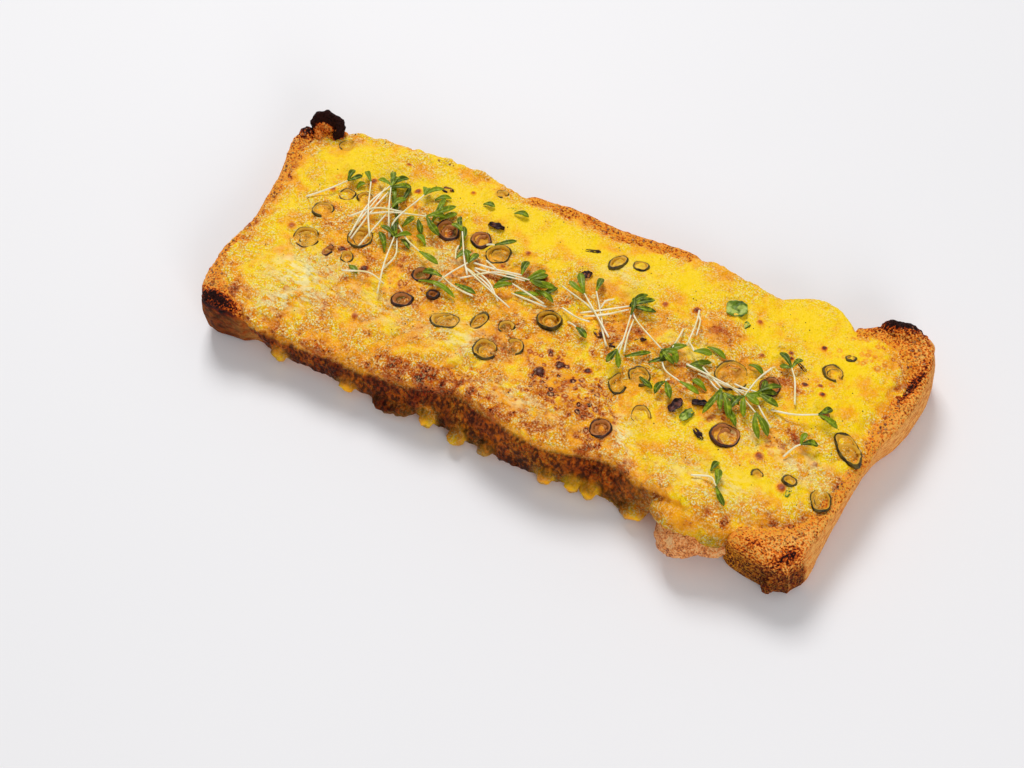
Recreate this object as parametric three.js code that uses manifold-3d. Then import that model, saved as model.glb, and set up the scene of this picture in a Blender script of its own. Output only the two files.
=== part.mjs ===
// A loaf cut lengthwise, spread with tuna, covered with cheese and baked until it browned.
// Spring onion rings lie in the cheese and bundles of cress lie on top.
// Millimetres, +Z up. The origin is on the floor under the middle of the loaf, +X runs along it.
import * as THREE from 'three';
import { mergeVertices } from 'three/addons/utils/BufferGeometryUtils.js';
import Module from 'manifold-3d';

const wasm = await Module();
wasm.setup();

// The loaf is cut flat at this height. Tuna lies on the cut, and cheese covers both.
const CUT_FACE = 14;
const CHEESE_DEPTH = 3.4;
const CHEESE_SIDE = 2.4;
const TUNA_MARGIN = 5;
const GAP = 0.4;

// The grids that carry the faceted tops, as cells along and across.
const BREAD_CELLS = [24, 10];
const TUNA_CELLS = [20, 8];
const CHEESE_CELLS = [40, 16];

// The outline of the loaf seen from above. Near and far sides are y at an x,
// the two ends are x at a share of the way across, from 0 at the near side to 1 at the far side.
const RIM = {
  near: curve([[-119, -41], [-110, -40.8], [-100, -41.5], [-60, -41], [-35, -40.5], [-21, -37.5],
    [-6, -41.5], [18, -45.5], [39, -39.5], [53, -44.5], [70, -49], [88, -52], [109, -54.5]]),
  far: curve([[-127, 48], [-118, 52], [-104, 54.5], [-60, 55.5], [-38, 53.8], [-16, 55], [4, 52.8],
    [20, 54.3], [36, 54.8], [48, 52.3], [62, 50.5], [70, 45], [82, 47], [97, 48], [106, 52], [118, 56.5]]),
  left: curve([[0, -121.5], [0.13, -123.5], [0.28, -124.5], [0.44, -121.8], [0.56, -122.5],
    [0.7, -123.5], [0.82, -125.5], [0.92, -127.5], [1, -127.5]]),
  right: curve([[0, 110], [0.1, 112.5], [0.25, 116], [0.45, 120], [0.52, 121], [0.62, 125],
    [0.72, 127], [0.82, 127.5], [0.92, 126], [1, 123]]),
};
const FOOT = {
  near: curve([[-119, -42.5], [-110, -41], [-100, -40.8], [-80, -41.5], [-50, -43], [-27, -44],
    [-10, -46], [12, -47], [34, -46.5], [53, -47.6], [68, -45], [80, -47.5], [92, -53], [112, -55.5]]),
  far: curve([[-125, 45], [-105, 53], [-60, 54], [0, 54], [50, 53], [75, 50], [100, 51], [122, 57]]),
  left: curve([[0, -121.5], [0.13, -122], [0.28, -122.5], [0.44, -120.5], [0.8, -124.5], [1, -126]]),
  right: curve([[0, 114], [0.1, 116.3], [0.3, 117], [0.42, 117.8], [0.54, 120.8], [0.66, 127],
    [0.78, 130], [0.87, 130.5], [0.94, 129], [1, 126]]),
};
// The middle of the whole part on that plan. It becomes the origin.
const MIDDLE = [1.2, -2];
const CORNER = 3.5;
const RIM_DROP = 0.6;
const TOLERANCE = 0.11;

// How far the cheese stops short of the loaf's outline. Zero is where it runs over the edge.
const BARE = {
  near: curve([[-119, 7], [-108, 4.5], [-99, 0], [83, 0], [89, 3], [96, 8], [104, 14], [112, 22]]),
  far: curve([[-126, 7], [-112, 3], [-104, 0], [-42, 0], [-30, 3], [0, 4], [32, 3], [44, 0],
    [64, 0], [73, -6], [84, -7], [94, -2.5], [99, 3], [110, 8], [120, 12]]),
  left: curve([[0, 5], [0.12, 1.5], [0.55, 1.5], [0.75, 3.5], [1, 5]]),
  right: curve([[0, 5], [0.12, 2.5], [0.4, 2], [0.56, 4.5], [0.68, 5.5], [0.85, 5.5], [1, 6.5]]),
};
// The height of the lower edge of the cheese where it runs down a side.
const SKIRT = {
  near: curve([[-110, 18], [-102, 14], [-94, 6], [-84, 4], [-60, 4.5], [-48, 3], [-30, 3.5], [-14, 4],
    [10, 3], [34, 3.5], [52, 4], [60, 12], [80, 12], [86, 8], [92, 17], [110, 17]]),
  far: curve([[-120, 17], [-102, 14], [-80, 10], [-60, 13], [-42, 15], [-30, 18], [34, 18], [46, 13],
    [62, 15], [72, 9], [84, 7], [96, 12], [104, 18], [118, 18]]),
};

// Heights of the top along the near rim, down the middle and along the far rim.
const NEAR_TOP = curve([[-119, 22.5], [-107, 21], [-95, 17.5], [-60, 18], [-35, 20.5], [-10, 23.5],
  [20, 23], [40, 21], [70, 23], [108, 19.5]]);
const MIDDLE_TOP = curve([[-122, 19.5], [-95, 20.5], [-40, 22], [20, 22.5], [90, 22.5], [122, 19.5]]);
const FAR_TOP = curve([[-126, 20.5], [-100, 19.5], [0, 20.5], [70, 19], [95, 20], [118, 21.5]]);

// Swellings and dents of the top: where, reach along and across, turn in degrees, rise.
const MOUNDS = [
  { at: [70, -44], reach: [17, 9], turn: 0, rise: 3 },
  { at: [14, -30], reach: [20, 8], turn: -8, rise: 1.8 },
  { at: [-38, -29], reach: [13, 8], turn: 20, rise: 1.6 },
  { at: [-84, -22], reach: [14, 12], turn: 0, rise: 1.2 },
  { at: [-70, 28], reach: [16, 10], turn: 10, rise: 1.2 },
  { at: [2, 30], reach: [22, 8], turn: 0, rise: 1 },
  { at: [92, -6], reach: [13, 11], turn: 30, rise: 1.6 },
  { at: [58, 22], reach: [14, 9], turn: -20, rise: 1.2 },
  { at: [-10, -4], reach: [15, 9], turn: -20, rise: 1.1 },
  { at: [90, 36], reach: [12, 9], turn: 0, rise: -1.6 },
  { at: [-48, 4], reach: [9, 6], turn: 30, rise: -1 },
];
// Creases and valleys: the points that each runs through, its half width and its depth.
const VALLEYS = [
  { through: [[28, -12], [35, -21], [46, -33], [52, -43]], half: 4, depth: 2.4 },
  { through: [[122, 36], [119, 20], [115, 8]], half: 3.2, depth: 1.6 },
  { through: [[80, -47], [95, -44], [107, -35], [115, -21]], half: 3.6, depth: 1.5 },
  { through: [[-56, -40], [-51, -28]], half: 3, depth: 1.6 },
  { through: [[-24, -42], [-21, -31]], half: 4, depth: 2 },
];

// The lump of tuna that bulges out at the near side, and the small ones beside it.
const TUNA_LUMPS = [
  { at: [72, -49.5, 10.8], reach: [9.5, 11, 7.2] },
  { at: [79.5, -49, 10.5], reach: [8.5, 7.5, 5.5] },
  { at: [71.5, -44.5, 17.5], reach: [11.5, 6.5, 5] },
];
// The cheese that hangs over that lump.
const DRAPES = [
  { at: [70.5, -47.8, 17.3], reach: [12, 8, 6.4] },
  { at: [80, -48.6, 16], reach: [9, 6.4, 5.6] },
];
// Cheese that has run down the near side: place along it, height, reach.
const DRIPS = [
  { x: -88.7, z: 5.5, reach: [2.8, 2.3, 4.8] },
  { x: -60, z: 5, reach: [3, 2.2, 4] },
  { x: -44.5, z: 3.4, reach: [5.5, 2.6, 2.6] },
  { x: -38, z: 4, reach: [3.4, 2.4, 3] },
  { x: -28, z: 5.6, reach: [2.8, 2.6, 4.8] },
  { x: -15.8, z: 4, reach: [3.4, 3.4, 3.6] },
  { x: -4, z: 5, reach: [3, 2.1, 4.2] },
  { x: 19.5, z: 5, reach: [3, 2.4, 4.2] },
  { x: 29.2, z: 4.6, reach: [2.8, 2.4, 3.8] },
  { x: 35.6, z: 4.2, reach: [3, 2.8, 3.6] },
  { x: 52, z: 4, reach: [5, 2.6, 3.4] },
];
// Burnt crags at the corners of the loaf.
const CRAGS = [
  { at: [-113.4, -38.4, 18], reach: [7.6, 3.2, 4.9] },
  { at: [-123.6, 45.4, 16.8], reach: [3.6, 3.4, 4.4] },
  { at: [-116, 50.4, 20.4], reach: [3.4, 1.3, 3.4] },
  { at: [113.6, 52.4, 18.8], reach: [8, 3.6, 4.6] },
  { at: [121, 50.4, 16.2], reach: [5.2, 4.8, 4.2] },
  { at: [104.4, -53.8, 5.6], reach: [2.8, 3.6, 5] },
];
// The curl of burnt crust at the far left corner.
const CURL = { through: [[-119.5, 46.5, 17], [-121.4, 49.6, 22], [-117, 51.6, 24.6], [-112, 51, 22.6],
  [-111.8, 48.5, 17]], radius: 1.9 };

// Spring onion rings: middle, outer radius, height, and how much longer than wide with its turn.
const RING_WALL = 1;
const RINGS = [
  { at: [-99.1, 13.3], radius: 4.1 },
  { at: [-98.7, -0.6], radius: 4.9 },
  { at: [-94.5, 23.6], radius: 3 },
  { at: [-87.4, 25], radius: 3.2 },
  { at: [-80.3, 7], radius: 4.6, height: 2.2 },
  { at: [-80.6, -2.6], radius: 2.6 },
  { at: [-52.1, 22.9], radius: 4.4, height: 2.6 },
  { at: [-39.8, 25.2], radius: 3.8, height: 2.4 },
  { at: [-30.4, 20.6], radius: 4.5, height: 2.6 },
  { at: [-52.2, 1.4], radius: 3.4, height: 2.4 },
  { at: [-53.4, -11.6], radius: 3, height: 2.2, stretch: 1.3, turn: 40 },
  { at: [-44.2, -5.2], radius: 2.4, height: 2.2 },
  { at: [-35.2, -13.7], radius: 3.6, stretch: 1.5, turn: 10 },
  { at: [-23.7, -9.4], radius: 3, height: 2.2, stretch: 1.5, turn: 80 },
  { at: [-16.3, -20.1], radius: 4.4, height: 2 },
  { at: [-7.3, -14.6], radius: 3.5 },
  { at: [-1.2, 0.8], radius: 4.6, height: 3.2 },
  { at: [10.1, 36.3], radius: 2.8, stretch: 1.7, turn: 75 },
  { at: [18.2, 38.6], radius: 3 },
  { at: [33.2, -32.2], radius: 3.8, height: 2 },
  { at: [30.6, -12.6], radius: 3.6, height: 2.2 },
  { at: [37, -7.2], radius: 4, height: 2.2 },
  { at: [65.5, 7.1], radius: 6.2 },
  { at: [79.3, 8.6], radius: 4.1, height: 2.2 },
  { at: [96.9, 24.2], radius: 3.9, height: 2 },
  { at: [72.6, -17.6], radius: 4.9, height: 2.2 },
  { at: [112.2, -3.2], radius: 4.2, height: 2.6, stretch: 1.7, turn: -40 },
  { at: [98.6, -24.2], radius: 2.4, height: 2 },
  { at: [110.2, -25.1], radius: 4 },
  { at: [100.5, 33], radius: 1.8 },
];
const RING_HEIGHT = 1.4;

// Loose pieces of onion leaf, flat or burnt and curled: middle, length, width, turn, lift.
const SCRAPS = [
  { name: 'onion_leaf_green', at: [56.7, 35.4], size: [8, 6.6], turn: 20, lift: 1.2, color: 0x5f8f2a },
  { name: 'onion_scrap_burnt_1', at: [52.9, -13.5], size: [6, 3.6], turn: 70, lift: 1.6, color: 0x3a1a18 },
  { name: 'onion_scrap_burnt_2', at: [60.5, -9.4], size: [5.4, 3.4], turn: 10, lift: 1.6, color: 0x3a1a18 },
  { name: 'onion_scrap_burnt_3', at: [64.2, -21.4], size: [4.6, 3], turn: -30, lift: 1.4, color: 0x3a1a18 },
  { name: 'onion_scrap_burnt_4', at: [-37, 32.6], size: [6, 3.2], turn: 5, lift: 1.4, color: 0x3a1a18 },
];

// Cress lies in bundles. A sprout is a stem through a few points and the tips of its leaves.
const STEM = 0.55;
const LEAF_WIDTH = 0.38;
const CRESS = {
  cress_left_end: [
    { stem: [[-107.9, 16.3], [-102.3, 21.5], [-97.5, 28.2]], leaves: [[-97.6, 34.2], [-93.4, 33]] },
  ],
  cress_left: [
    { stem: [[-83.7, 5.3], [-83.5, 20.2], [-80, 32.2]], leaves: [[-86.7, 34.6], [-83.1, 39.6], [-76.4, 39]] },
    { stem: [[-70.3, 11.2], [-75.1, 20.6], [-79.6, 30.8]], leaves: [[-73.4, 36.3], [-81, 38]] },
    { stem: [[-76.6, 7.8], [-82, 17.3], [-88, 30.6]], leaves: [[-93, 36]] },
    { stem: [[-85, 14.6], [-74.3, 19.7], [-61.1, 24.6]], leaves: [[-55.9, 31.6], [-54.5, 27.6]] },
    { stem: [[-73.1, 9.9], [-70.6, 17.3], [-66.1, 31.7]], leaves: [[-67.4, 38], [-61.7, 39]] },
    { stem: [[-62.2, -13.7], [-65.7, -1.6], [-68.8, 11.6]], leaves: [[-74.6, 13.7], [-63.1, 15]] },
    { stem: [[-69.5, 16.5], [-63, 11.6], [-56.5, 8.5]], leaves: [[-50.8, 8.8]] },
    { stem: [[-78.6, -9.8], [-68.8, -7.4], [-61.4, -9.9]], leaves: [] },
  ],
  cress_middle: [
    { stem: [[-36.2, 5.5], [-40.2, 12.3], [-46.2, 20.1]], leaves: [[-50.4, 27], [-52, 22.8]] },
    { stem: [[-39.5, 10.2], [-31.9, 5.6], [-18, 0.2]], leaves: [] },
    { stem: [[-45.2, -1.5], [-42, 4.2], [-38.3, 13.2]], leaves: [[-38.4, 18.2]] },
    { stem: [[-30.2, -1.1], [-37.1, 0.4], [-43.6, 3.6]], leaves: [[-50, 5.2]] },
    { stem: [[-40.1, 3.2], [-27.2, 11.7], [-14.8, 13.7]], leaves: [[-9, 12.3], [-8.1, 16.6], [-11.6, 19.5]] },
    { stem: [[-35.4, 11.2], [-28.8, 11], [-16.3, 14.6]], leaves: [[-14.8, 20.4]] },
    { stem: [[-7.5, 7.4], [-15.6, 8.7], [-22.3, 11.7]], leaves: [[-24.4, 5.1]] },
  ],
  cress_centre: [
    { stem: [[21.7, -1], [12, 10.9], [-2.1, 16.1]], leaves: [] },
    { stem: [[21, 2.3], [11.1, 11.4], [4.5, 17.3]], leaves: [[0.2, 23.7], [-1.2, 19.9]] },
    { stem: [[5.1, 8.6], [15.2, 13.9], [23.1, 18.5]], leaves: [[26.1, 25.5], [30.5, 24.3], [31.7, 19.7]] },
    { stem: [[27.5, -1.8], [26.2, 5.8], [22.3, 18.5]], leaves: [[22, 25]] },
    { stem: [[22, 18.1], [28, 12.5], [40, 5]], leaves: [[45.8, 1.6], [45.6, 6.4]] },
    { stem: [[4.8, 2.6], [10.8, 5.6], [18.4, 6]], leaves: [[24, 7]] },
  ],
  cress_right: [
    { stem: [[41.4, 16.8], [49, 9.4], [56, 1.3]], leaves: [[61.3, -4.8], [57.4, -4.6]] },
    { stem: [[47, 26.4], [47.5, 18.9], [48.2, 10.3]], leaves: [[43, 7.4], [45.2, 2.2]] },
    { stem: [[46, 1.7], [56.8, 0.2], [70.9, -2.3]], leaves: [[75.8, -6], [77, -0.6]] },
    { stem: [[50, 3.7], [60.8, 1.8], [72, 1.2]], leaves: [[79, -2.4], [78, 2.2]] },
    { stem: [[50, 8], [57, 3], [65, -3]], leaves: [[64.2, -10.5], [68.5, -10.2]] },
    { stem: [[68, 1], [78.5, -4.3], [85.8, -9.4]], leaves: [[89, -14.6], [84.1, -14.9]] },
    { stem: [[75.4, 16], [73.4, 7.7], [70.7, -2]], leaves: [[77.2, 22], [71.6, 21.5]] },
  ],
  cress_right_sprig: [
    { stem: [[85.3, -2.6], [91.2, -1.3], [98.6, 3.5]], leaves: [[104.9, 4.6], [101, 8.6]] },
  ],
  cress_far_sprig: [
    { stem: [[89.5, 3.8], [87, 12], [83.6, 17.7]], leaves: [[77.4, 23.5], [85.4, 24.6], [79.6, 18.4]] },
  ],
  cress_front_sprig: [
    { stem: [[68.4, -37.8], [74.7, -36.6], [78.4, -39.4]], leaves: [[83.5, -43.6], [76.5, -31.4]] },
  ],
  cress_front_leaf: [
    { stem: [[92.8, -15.8], [96.2, -11.7], [98.2, -10.4]], leaves: [[102.7, -8.3], [97.6, -5.6]] },
  ],
};

const COLORS = { bread: 0xc98a4a, tuna: 0xc99a78, cheese: 0xf2b632, ring: 0x4f5a1c, cress: 0x6fae2f };

// A smooth curve through a few knots of place and value, level past its two ends.
function curve(knots) {
  const slope = (i) => {
    const a = knots[Math.max(i - 1, 0)];
    const b = knots[Math.min(i + 1, knots.length - 1)];
    return (b[1] - a[1]) / (b[0] - a[0]);
  };
  return (place) => {
    let i = 0;
    while (i < knots.length - 2 && place > knots[i + 1][0]) i += 1;
    const [start, low] = knots[i];
    const [end, high] = knots[i + 1];
    const span = end - start;
    const u = Math.min(Math.max((place - start) / span, 0), 1);
    const ease = u * u * (3 - 2 * u);
    const rise = u * (1 - u) * (1 - u) * slope(i) - u * u * (1 - u) * slope(i + 1);
    return low + (high - low) * ease + rise * span;
  };
}

function ramp(from, to, value) {
  const u = Math.min(Math.max((value - from) / (to - from), 0), 1);
  return u * u * (3 - 2 * u);
}

// The loaf's outline at a share of its height, from 0 at the floor to 1 at the rim.
// inset is how far each side is moved inwards.
function outline(share, inset) {
  const mix = (side, place) => FOOT[side](place) * (1 - share) + RIM[side](place) * share;
  return {
    near: (x) => mix('near', x) + inset.near(x),
    far: (x) => mix('far', x) - inset.far(x),
    left: (t) => mix('left', t) + inset.left(t),
    right: (t) => mix('right', t) - inset.right(t),
  };
}

function insetBy(distance, inset) {
  const wider = {};
  for (const side of ['near', 'far', 'left', 'right']) {
    wider[side] = (place) => inset[side](place) + distance;
  }
  return wider;
}

// A place on an outline: s runs from the left end to the right end, t from near to far.
function place(edges, s, t) {
  const x = edges.left(t) * (1 - s) + edges.right(t) * s;
  const y = edges.near(x) * (1 - t) + edges.far(x) * t;
  const along = ramp(0.94, 1, Math.abs(2 * s - 1));
  const across = ramp(0.84, 1, Math.abs(2 * t - 1));
  const pull = CORNER * along * across * 0.5;
  return [x - Math.sign(2 * s - 1) * pull, y - Math.sign(2 * t - 1) * pull];
}

function distanceTo(x, y, points) {
  let best = Infinity;
  for (let i = 0; i + 1 < points.length; i += 1) {
    const [ax, ay] = points[i];
    const [bx, by] = points[i + 1];
    const long = (bx - ax) ** 2 + (by - ay) ** 2;
    const u = Math.min(Math.max(((x - ax) * (bx - ax) + (y - ay) * (by - ay)) / long, 0), 1);
    best = Math.min(best, Math.hypot(x - ax - u * (bx - ax), y - ay - u * (by - ay)));
  }
  return best;
}

// The height of the finished top at a place, with its mounds, valleys and low waves.
function surface(x, y) {
  const near = RIM.near(x);
  const t = Math.min(Math.max((y - near) / (RIM.far(x) - near), 0), 1);
  let z = NEAR_TOP(x) * (1 - t) * (1 - 2 * t) + MIDDLE_TOP(x) * 4 * t * (1 - t);
  z += FAR_TOP(x) * t * (2 * t - 1);
  for (const mound of MOUNDS) {
    const turn = THREE.MathUtils.degToRad(mound.turn);
    const dx = x - mound.at[0];
    const dy = y - mound.at[1];
    const along = (dx * Math.cos(turn) + dy * Math.sin(turn)) / mound.reach[0];
    const across = (dy * Math.cos(turn) - dx * Math.sin(turn)) / mound.reach[1];
    z += mound.rise * Math.exp(-along * along - across * across);
  }
  for (const valley of VALLEYS) {
    z -= valley.depth * Math.exp(-((distanceTo(x, y, valley.through) / valley.half) ** 2));
  }
  return z + 0.35 * Math.sin(x / 7 + 1.3) * Math.sin(y / 6) + 0.3 * Math.sin(x / 11 - y / 5);
}

// A closed body made of a gridded top and rings that lead from its edge down to a flat bottom.
// Each level has its outline and the height of a place on it; the first one is the top.
function slab(cells, levels) {
  const [along, across] = cells;
  const vertices = [];
  const faces = [];
  const spread = (i, count) => {
    const u = i / count;
    return u - 0.035 * Math.sin(4 * Math.PI * u) / 2;
  };
  for (let j = 0; j <= across; j += 1) {
    for (let i = 0; i <= along; i += 1) {
      const [x, y] = place(levels[0].edges, spread(i, along), spread(j, across));
      vertices.push(x, y, levels[0].height(x, y, 'top'));
    }
  }
  const corner = (i, j) => j * (along + 1) + i;
  for (let j = 0; j < across; j += 1) {
    for (let i = 0; i < along; i += 1) {
      const [a, b, c, d] = [corner(i, j), corner(i + 1, j), corner(i + 1, j + 1), corner(i, j + 1)];
      if ((i + j) % 2) faces.push(a, b, c, a, c, d);
      else faces.push(a, b, d, b, c, d);
    }
  }
  const walk = [];
  for (let i = 0; i < along; i += 1) walk.push([i, 0, 'near']);
  for (let j = 0; j < across; j += 1) walk.push([along, j, 'right']);
  for (let i = along; i > 0; i -= 1) walk.push([i, across, 'far']);
  for (let j = across; j > 0; j -= 1) walk.push([0, j, 'left']);
  let upper = walk.map(([i, j]) => corner(i, j));
  let outer = [];
  for (const level of levels.slice(1)) {
    const start = vertices.length / 3;
    outer = walk.map(([i, j, side]) => {
      const [x, y] = place(level.edges, spread(i, along), spread(j, across));
      vertices.push(x, y, level.height(x, y, side));
      return new THREE.Vector2(x, y);
    });
    const lower = walk.map((_, k) => start + k);
    walk.forEach((_, k) => {
      const next = (k + 1) % walk.length;
      faces.push(upper[k], lower[k], lower[next], upper[k], lower[next], upper[next]);
    });
    upper = lower;
  }
  for (const [a, b, c] of THREE.ShapeUtils.triangulateShape(outer, [])) {
    faces.push(upper[a], upper[c], upper[b]);
  }
  return solid(vertices, faces);
}

function solid(vertices, faces) {
  const mesh = new wasm.Mesh({
    numProp: 3,
    vertProperties: new Float32Array(vertices),
    triVerts: new Uint32Array(faces),
  });
  return new wasm.Manifold(mesh);
}

// A closed three.js geometry as a solid that can be joined and cut.
function solidOf(geometry) {
  geometry.deleteAttribute('normal');
  geometry.deleteAttribute('uv');
  const merged = mergeVertices(geometry, 1e-4);
  return solid(Array.from(merged.attributes.position.array), Array.from(merged.index.array));
}

function lump({ at, reach }, grow) {
  const ball = new THREE.IcosahedronGeometry(1, 1);
  ball.scale(reach[0] + grow, reach[1] + grow, reach[2] + grow);
  ball.translate(at[0], at[1], at[2]);
  return solidOf(ball);
}

function tube(points, radius, sides, steps) {
  const section = new THREE.Shape();
  for (let k = 0; k < sides; k += 1) {
    const turn = (2 * Math.PI * k) / sides;
    const corner = [radius * Math.cos(turn), radius * Math.sin(turn)];
    if (k === 0) section.moveTo(...corner);
    else section.lineTo(...corner);
  }
  const path = new THREE.CatmullRomCurve3(points.map((point) => new THREE.Vector3(...point)));
  return solidOf(new THREE.ExtrudeGeometry(section, { steps, bevelEnabled: false, extrudePath: path }));
}

// The largest connected body of a solid, without loose scraps.
function whole(body) {
  const pieces = body.simplify(TOLERANCE).decompose();
  pieces.sort((a, b) => b.volume() - a.volume());
  return pieces[0];
}

// The whole lower half of the loaf, before the layers are cut out of it.
function loafSolid() {
  const hidden = (side) => (x) => (CHEESE_SIDE + 2 * GAP) * (1 - ramp(0, 3, BARE[side](x)));
  const walls = { near: hidden('near'), far: hidden('far'), left: () => 0, right: () => 0 };
  const level = (share, inset, height) => ({
    edges: outline(share, insetBy(inset, walls)),
    height: (x, y) => height(surface(x, y) - RIM_DROP),
  });
  const body = slab(BREAD_CELLS, [
    level(1, 1.6, (z) => z),
    level(0.95, 0, (z) => z - 1.4),
    level(0.6, -0.6, (z) => 0.6 * z),
    level(0.25, 0, (z) => 0.25 * z),
    level(0.05, 1, () => 1),
    level(0, 3, () => 0),
  ]);
  const crags = CRAGS.map((crag) => lump(crag, 0));
  return wasm.Manifold.union([body, tube(CURL.through, CURL.radius, 6, 8), ...crags]);
}

// The tuna that lies on the cut face, and the lumps of it that bulge out at the side.
function tunaSolid(grow) {
  const margin = insetBy(TUNA_MARGIN - grow, {
    near: (x) => Math.max(BARE.near(x), 0),
    far: (x) => Math.max(BARE.far(x), 0),
    left: BARE.left,
    right: BARE.right,
  });
  const top = (x, y) => surface(x, y) - CHEESE_DEPTH + 1.5 * grow;
  const layer = slab(TUNA_CELLS, [
    { edges: outline(1, insetBy(1, margin)), height: top },
    { edges: outline(1, margin), height: (x, y) => top(x, y) - 1 },
    { edges: outline(1, margin), height: () => CUT_FACE - grow },
  ]);
  return wasm.Manifold.union([layer, ...TUNA_LUMPS.map((part) => lump(part, grow))]);
}

// The cheese as one block down to the cut face, with what has run over the sides.
function cheeseBlock(grow) {
  const edge = (x, y, side) => Math.min(side in SKIRT ? SKIRT[side](x) : CUT_FACE, CUT_FACE) - grow;
  const lip = (x, y, side) => Math.min(edge(x, y, side) + 0.4, CUT_FACE - grow);
  const inside = (side) => (place) => CHEESE_SIDE + grow + Math.max(BARE[side](place), 0);
  const inner = { near: inside('near'), far: inside('far'), left: inside('left'), right: inside('right') };
  const level = (share, inset, height) => ({ edges: outline(share, insetBy(inset, BARE)), height });
  const blanket = slab(CHEESE_CELLS, [
    level(1, 1.5 - grow, (x, y) => surface(x, y) + grow),
    level(1, -grow, (x, y) => surface(x, y) - 1.3 + grow),
    level(0.6, -0.6 - grow, (x, y, side) => (surface(x, y) + edge(x, y, side)) / 2),
    level(0.2, -grow, edge),
    { edges: outline(0.2, inner), height: lip },
    { edges: outline(0.6, inner), height: () => CUT_FACE - grow },
  ]);
  return wasm.Manifold.union([blanket, ...DRAPES.map((drape) => lump(drape, grow))]);
}

function dripSolid({ x, z, reach }) {
  const wall = outline(0.2, BARE).near(x);
  return lump({ at: [x, wall + CHEESE_SIDE - GAP - reach[1], z], reach }, 0);
}

// How far a sprout has to rise over the rings that it crosses.
function ringLift(x, y) {
  let lift = 0;
  for (const ring of RINGS) {
    const reach = ring.radius * (ring.stretch ?? 1);
    const gone = Math.hypot(x - ring.at[0], y - ring.at[1]) - reach;
    lift = Math.max(lift, ((ring.height ?? RING_HEIGHT) + 0.3) * (1 - ramp(0.5, 4, gone)));
  }
  return lift;
}

function rest(x, y, clearance) {
  return surface(x, y) + clearance + ringLift(x, y);
}

function ringSolid({ at, radius, height = RING_HEIGHT, stretch = 1, turn = 0 }) {
  const inner = radius - RING_WALL;
  const profile = [[inner, 0], [radius, 0], [radius, height], [inner, height], [inner, 0]];
  const lathe = new THREE.LatheGeometry(profile.map(([r, z]) => new THREE.Vector2(r, z)), 8);
  lathe.rotateX(Math.PI / 2);
  lathe.scale(stretch, 1, 1);
  lathe.rotateZ(THREE.MathUtils.degToRad(turn));
  return settle(solidOf(lathe), at);
}

// Tilts a piece to the slope of the top at a place and sets it down there.
function settle(body, [x, y]) {
  const step = 3;
  const slopeX = (surface(x + step, y) - surface(x - step, y)) / (2 * step);
  const slopeY = (surface(x, y + step) - surface(x, y - step)) / (2 * step);
  const base = surface(x, y) + GAP;
  return body.warp((vertex) => {
    vertex[2] += base + slopeX * vertex[0] + slopeY * vertex[1];
    vertex[0] += x;
    vertex[1] += y;
  });
}

// A thin piece of onion leaf, bowed along its length.
function scrapSolid({ at, size, turn, lift }) {
  const plate = new THREE.BoxGeometry(size[0], size[1], 0.8, 4, 1, 1);
  const position = plate.attributes.position;
  for (let k = 0; k < position.count; k += 1) {
    const bow = 1 - (2 * position.getX(k) / size[0]) ** 2;
    position.setZ(k, position.getZ(k) + 0.5 + lift * bow);
  }
  plate.rotateZ(THREE.MathUtils.degToRad(turn));
  return settle(solidOf(plate), at);
}

// A cress leaf: a narrow wavy blade from the end of its stem to its tip.
function leafSolid(from, to) {
  const length = Math.hypot(to[0] - from[0], to[1] - from[1]);
  const side = [-(to[1] - from[1]) / length, (to[0] - from[0]) / length];
  const half = (LEAF_WIDTH * length) / 2;
  const rim = [[-0.06, 0], [0.35, -0.8], [0.75, -0.9], [1, 0], [0.75, 0.9], [0.35, 0.8]];
  const vertices = [];
  const put = (u, v, rise) => {
    const x = from[0] + (to[0] - from[0]) * u + side[0] * v * half;
    const y = from[1] + (to[1] - from[1]) * u + side[1] * v * half;
    vertices.push(x, y, rest(x, y, 0.9) + rise);
  };
  rim.forEach(([u, v], k) => put(u, v, 0.25 * Math.cos(k * 2.4)));
  put(0.5, 0, 0.45);
  put(0.5, 0, -0.25);
  const faces = [];
  rim.forEach((_, k) => {
    const next = (k + 1) % rim.length;
    faces.push(k, next, 6, next, k, 7);
  });
  return solid(vertices, faces);
}

function sproutSolids({ stem, leaves }) {
  const points = stem.map(([x, y]) => [x, y, rest(x, y, 1)]);
  const end = stem[stem.length - 1];
  return [tube(points, STEM, 3, 3), ...leaves.map((tip) => leafSolid(end, tip))];
}

// Lifts a topping until it is clear of everything that it lies on.
function clearOf(body, below) {
  let lifted = body;
  while (below.some((other) => other.intersect(lifted).volume() > 1e-4)) {
    lifted = lifted.translate([0, 0, 0.1]);
  }
  return lifted;
}

function meshOf(name, body, color, roughness) {
  const { vertProperties, triVerts } = body.getMesh();
  const geometry = new THREE.BufferGeometry();
  geometry.setAttribute('position', new THREE.BufferAttribute(new Float32Array(vertProperties), 3));
  geometry.setIndex(new THREE.BufferAttribute(new Uint32Array(triVerts), 1));
  geometry.computeVertexNormals();
  const mesh = new THREE.Mesh(geometry, new THREE.MeshStandardMaterial({ color, roughness, metalness: 0 }));
  mesh.name = name;
  return mesh;
}

const bread = whole(loafSolid().subtract(cheeseBlock(GAP)).subtract(tunaSolid(GAP)));
const tuna = whole(tunaSolid(0));
const covering = wasm.Manifold.union([cheeseBlock(0), ...DRIPS.map(dripSolid)]);
const cheese = whole(covering.subtract(tunaSolid(GAP)));

const tunaBread = new THREE.Group();
tunaBread.add(meshOf('bread', bread, COLORS.bread, 0.9));
tunaBread.add(meshOf('tuna_filling', tuna, COLORS.tuna, 0.8));
tunaBread.add(meshOf('melted_cheese', cheese, COLORS.cheese, 0.4));

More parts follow.
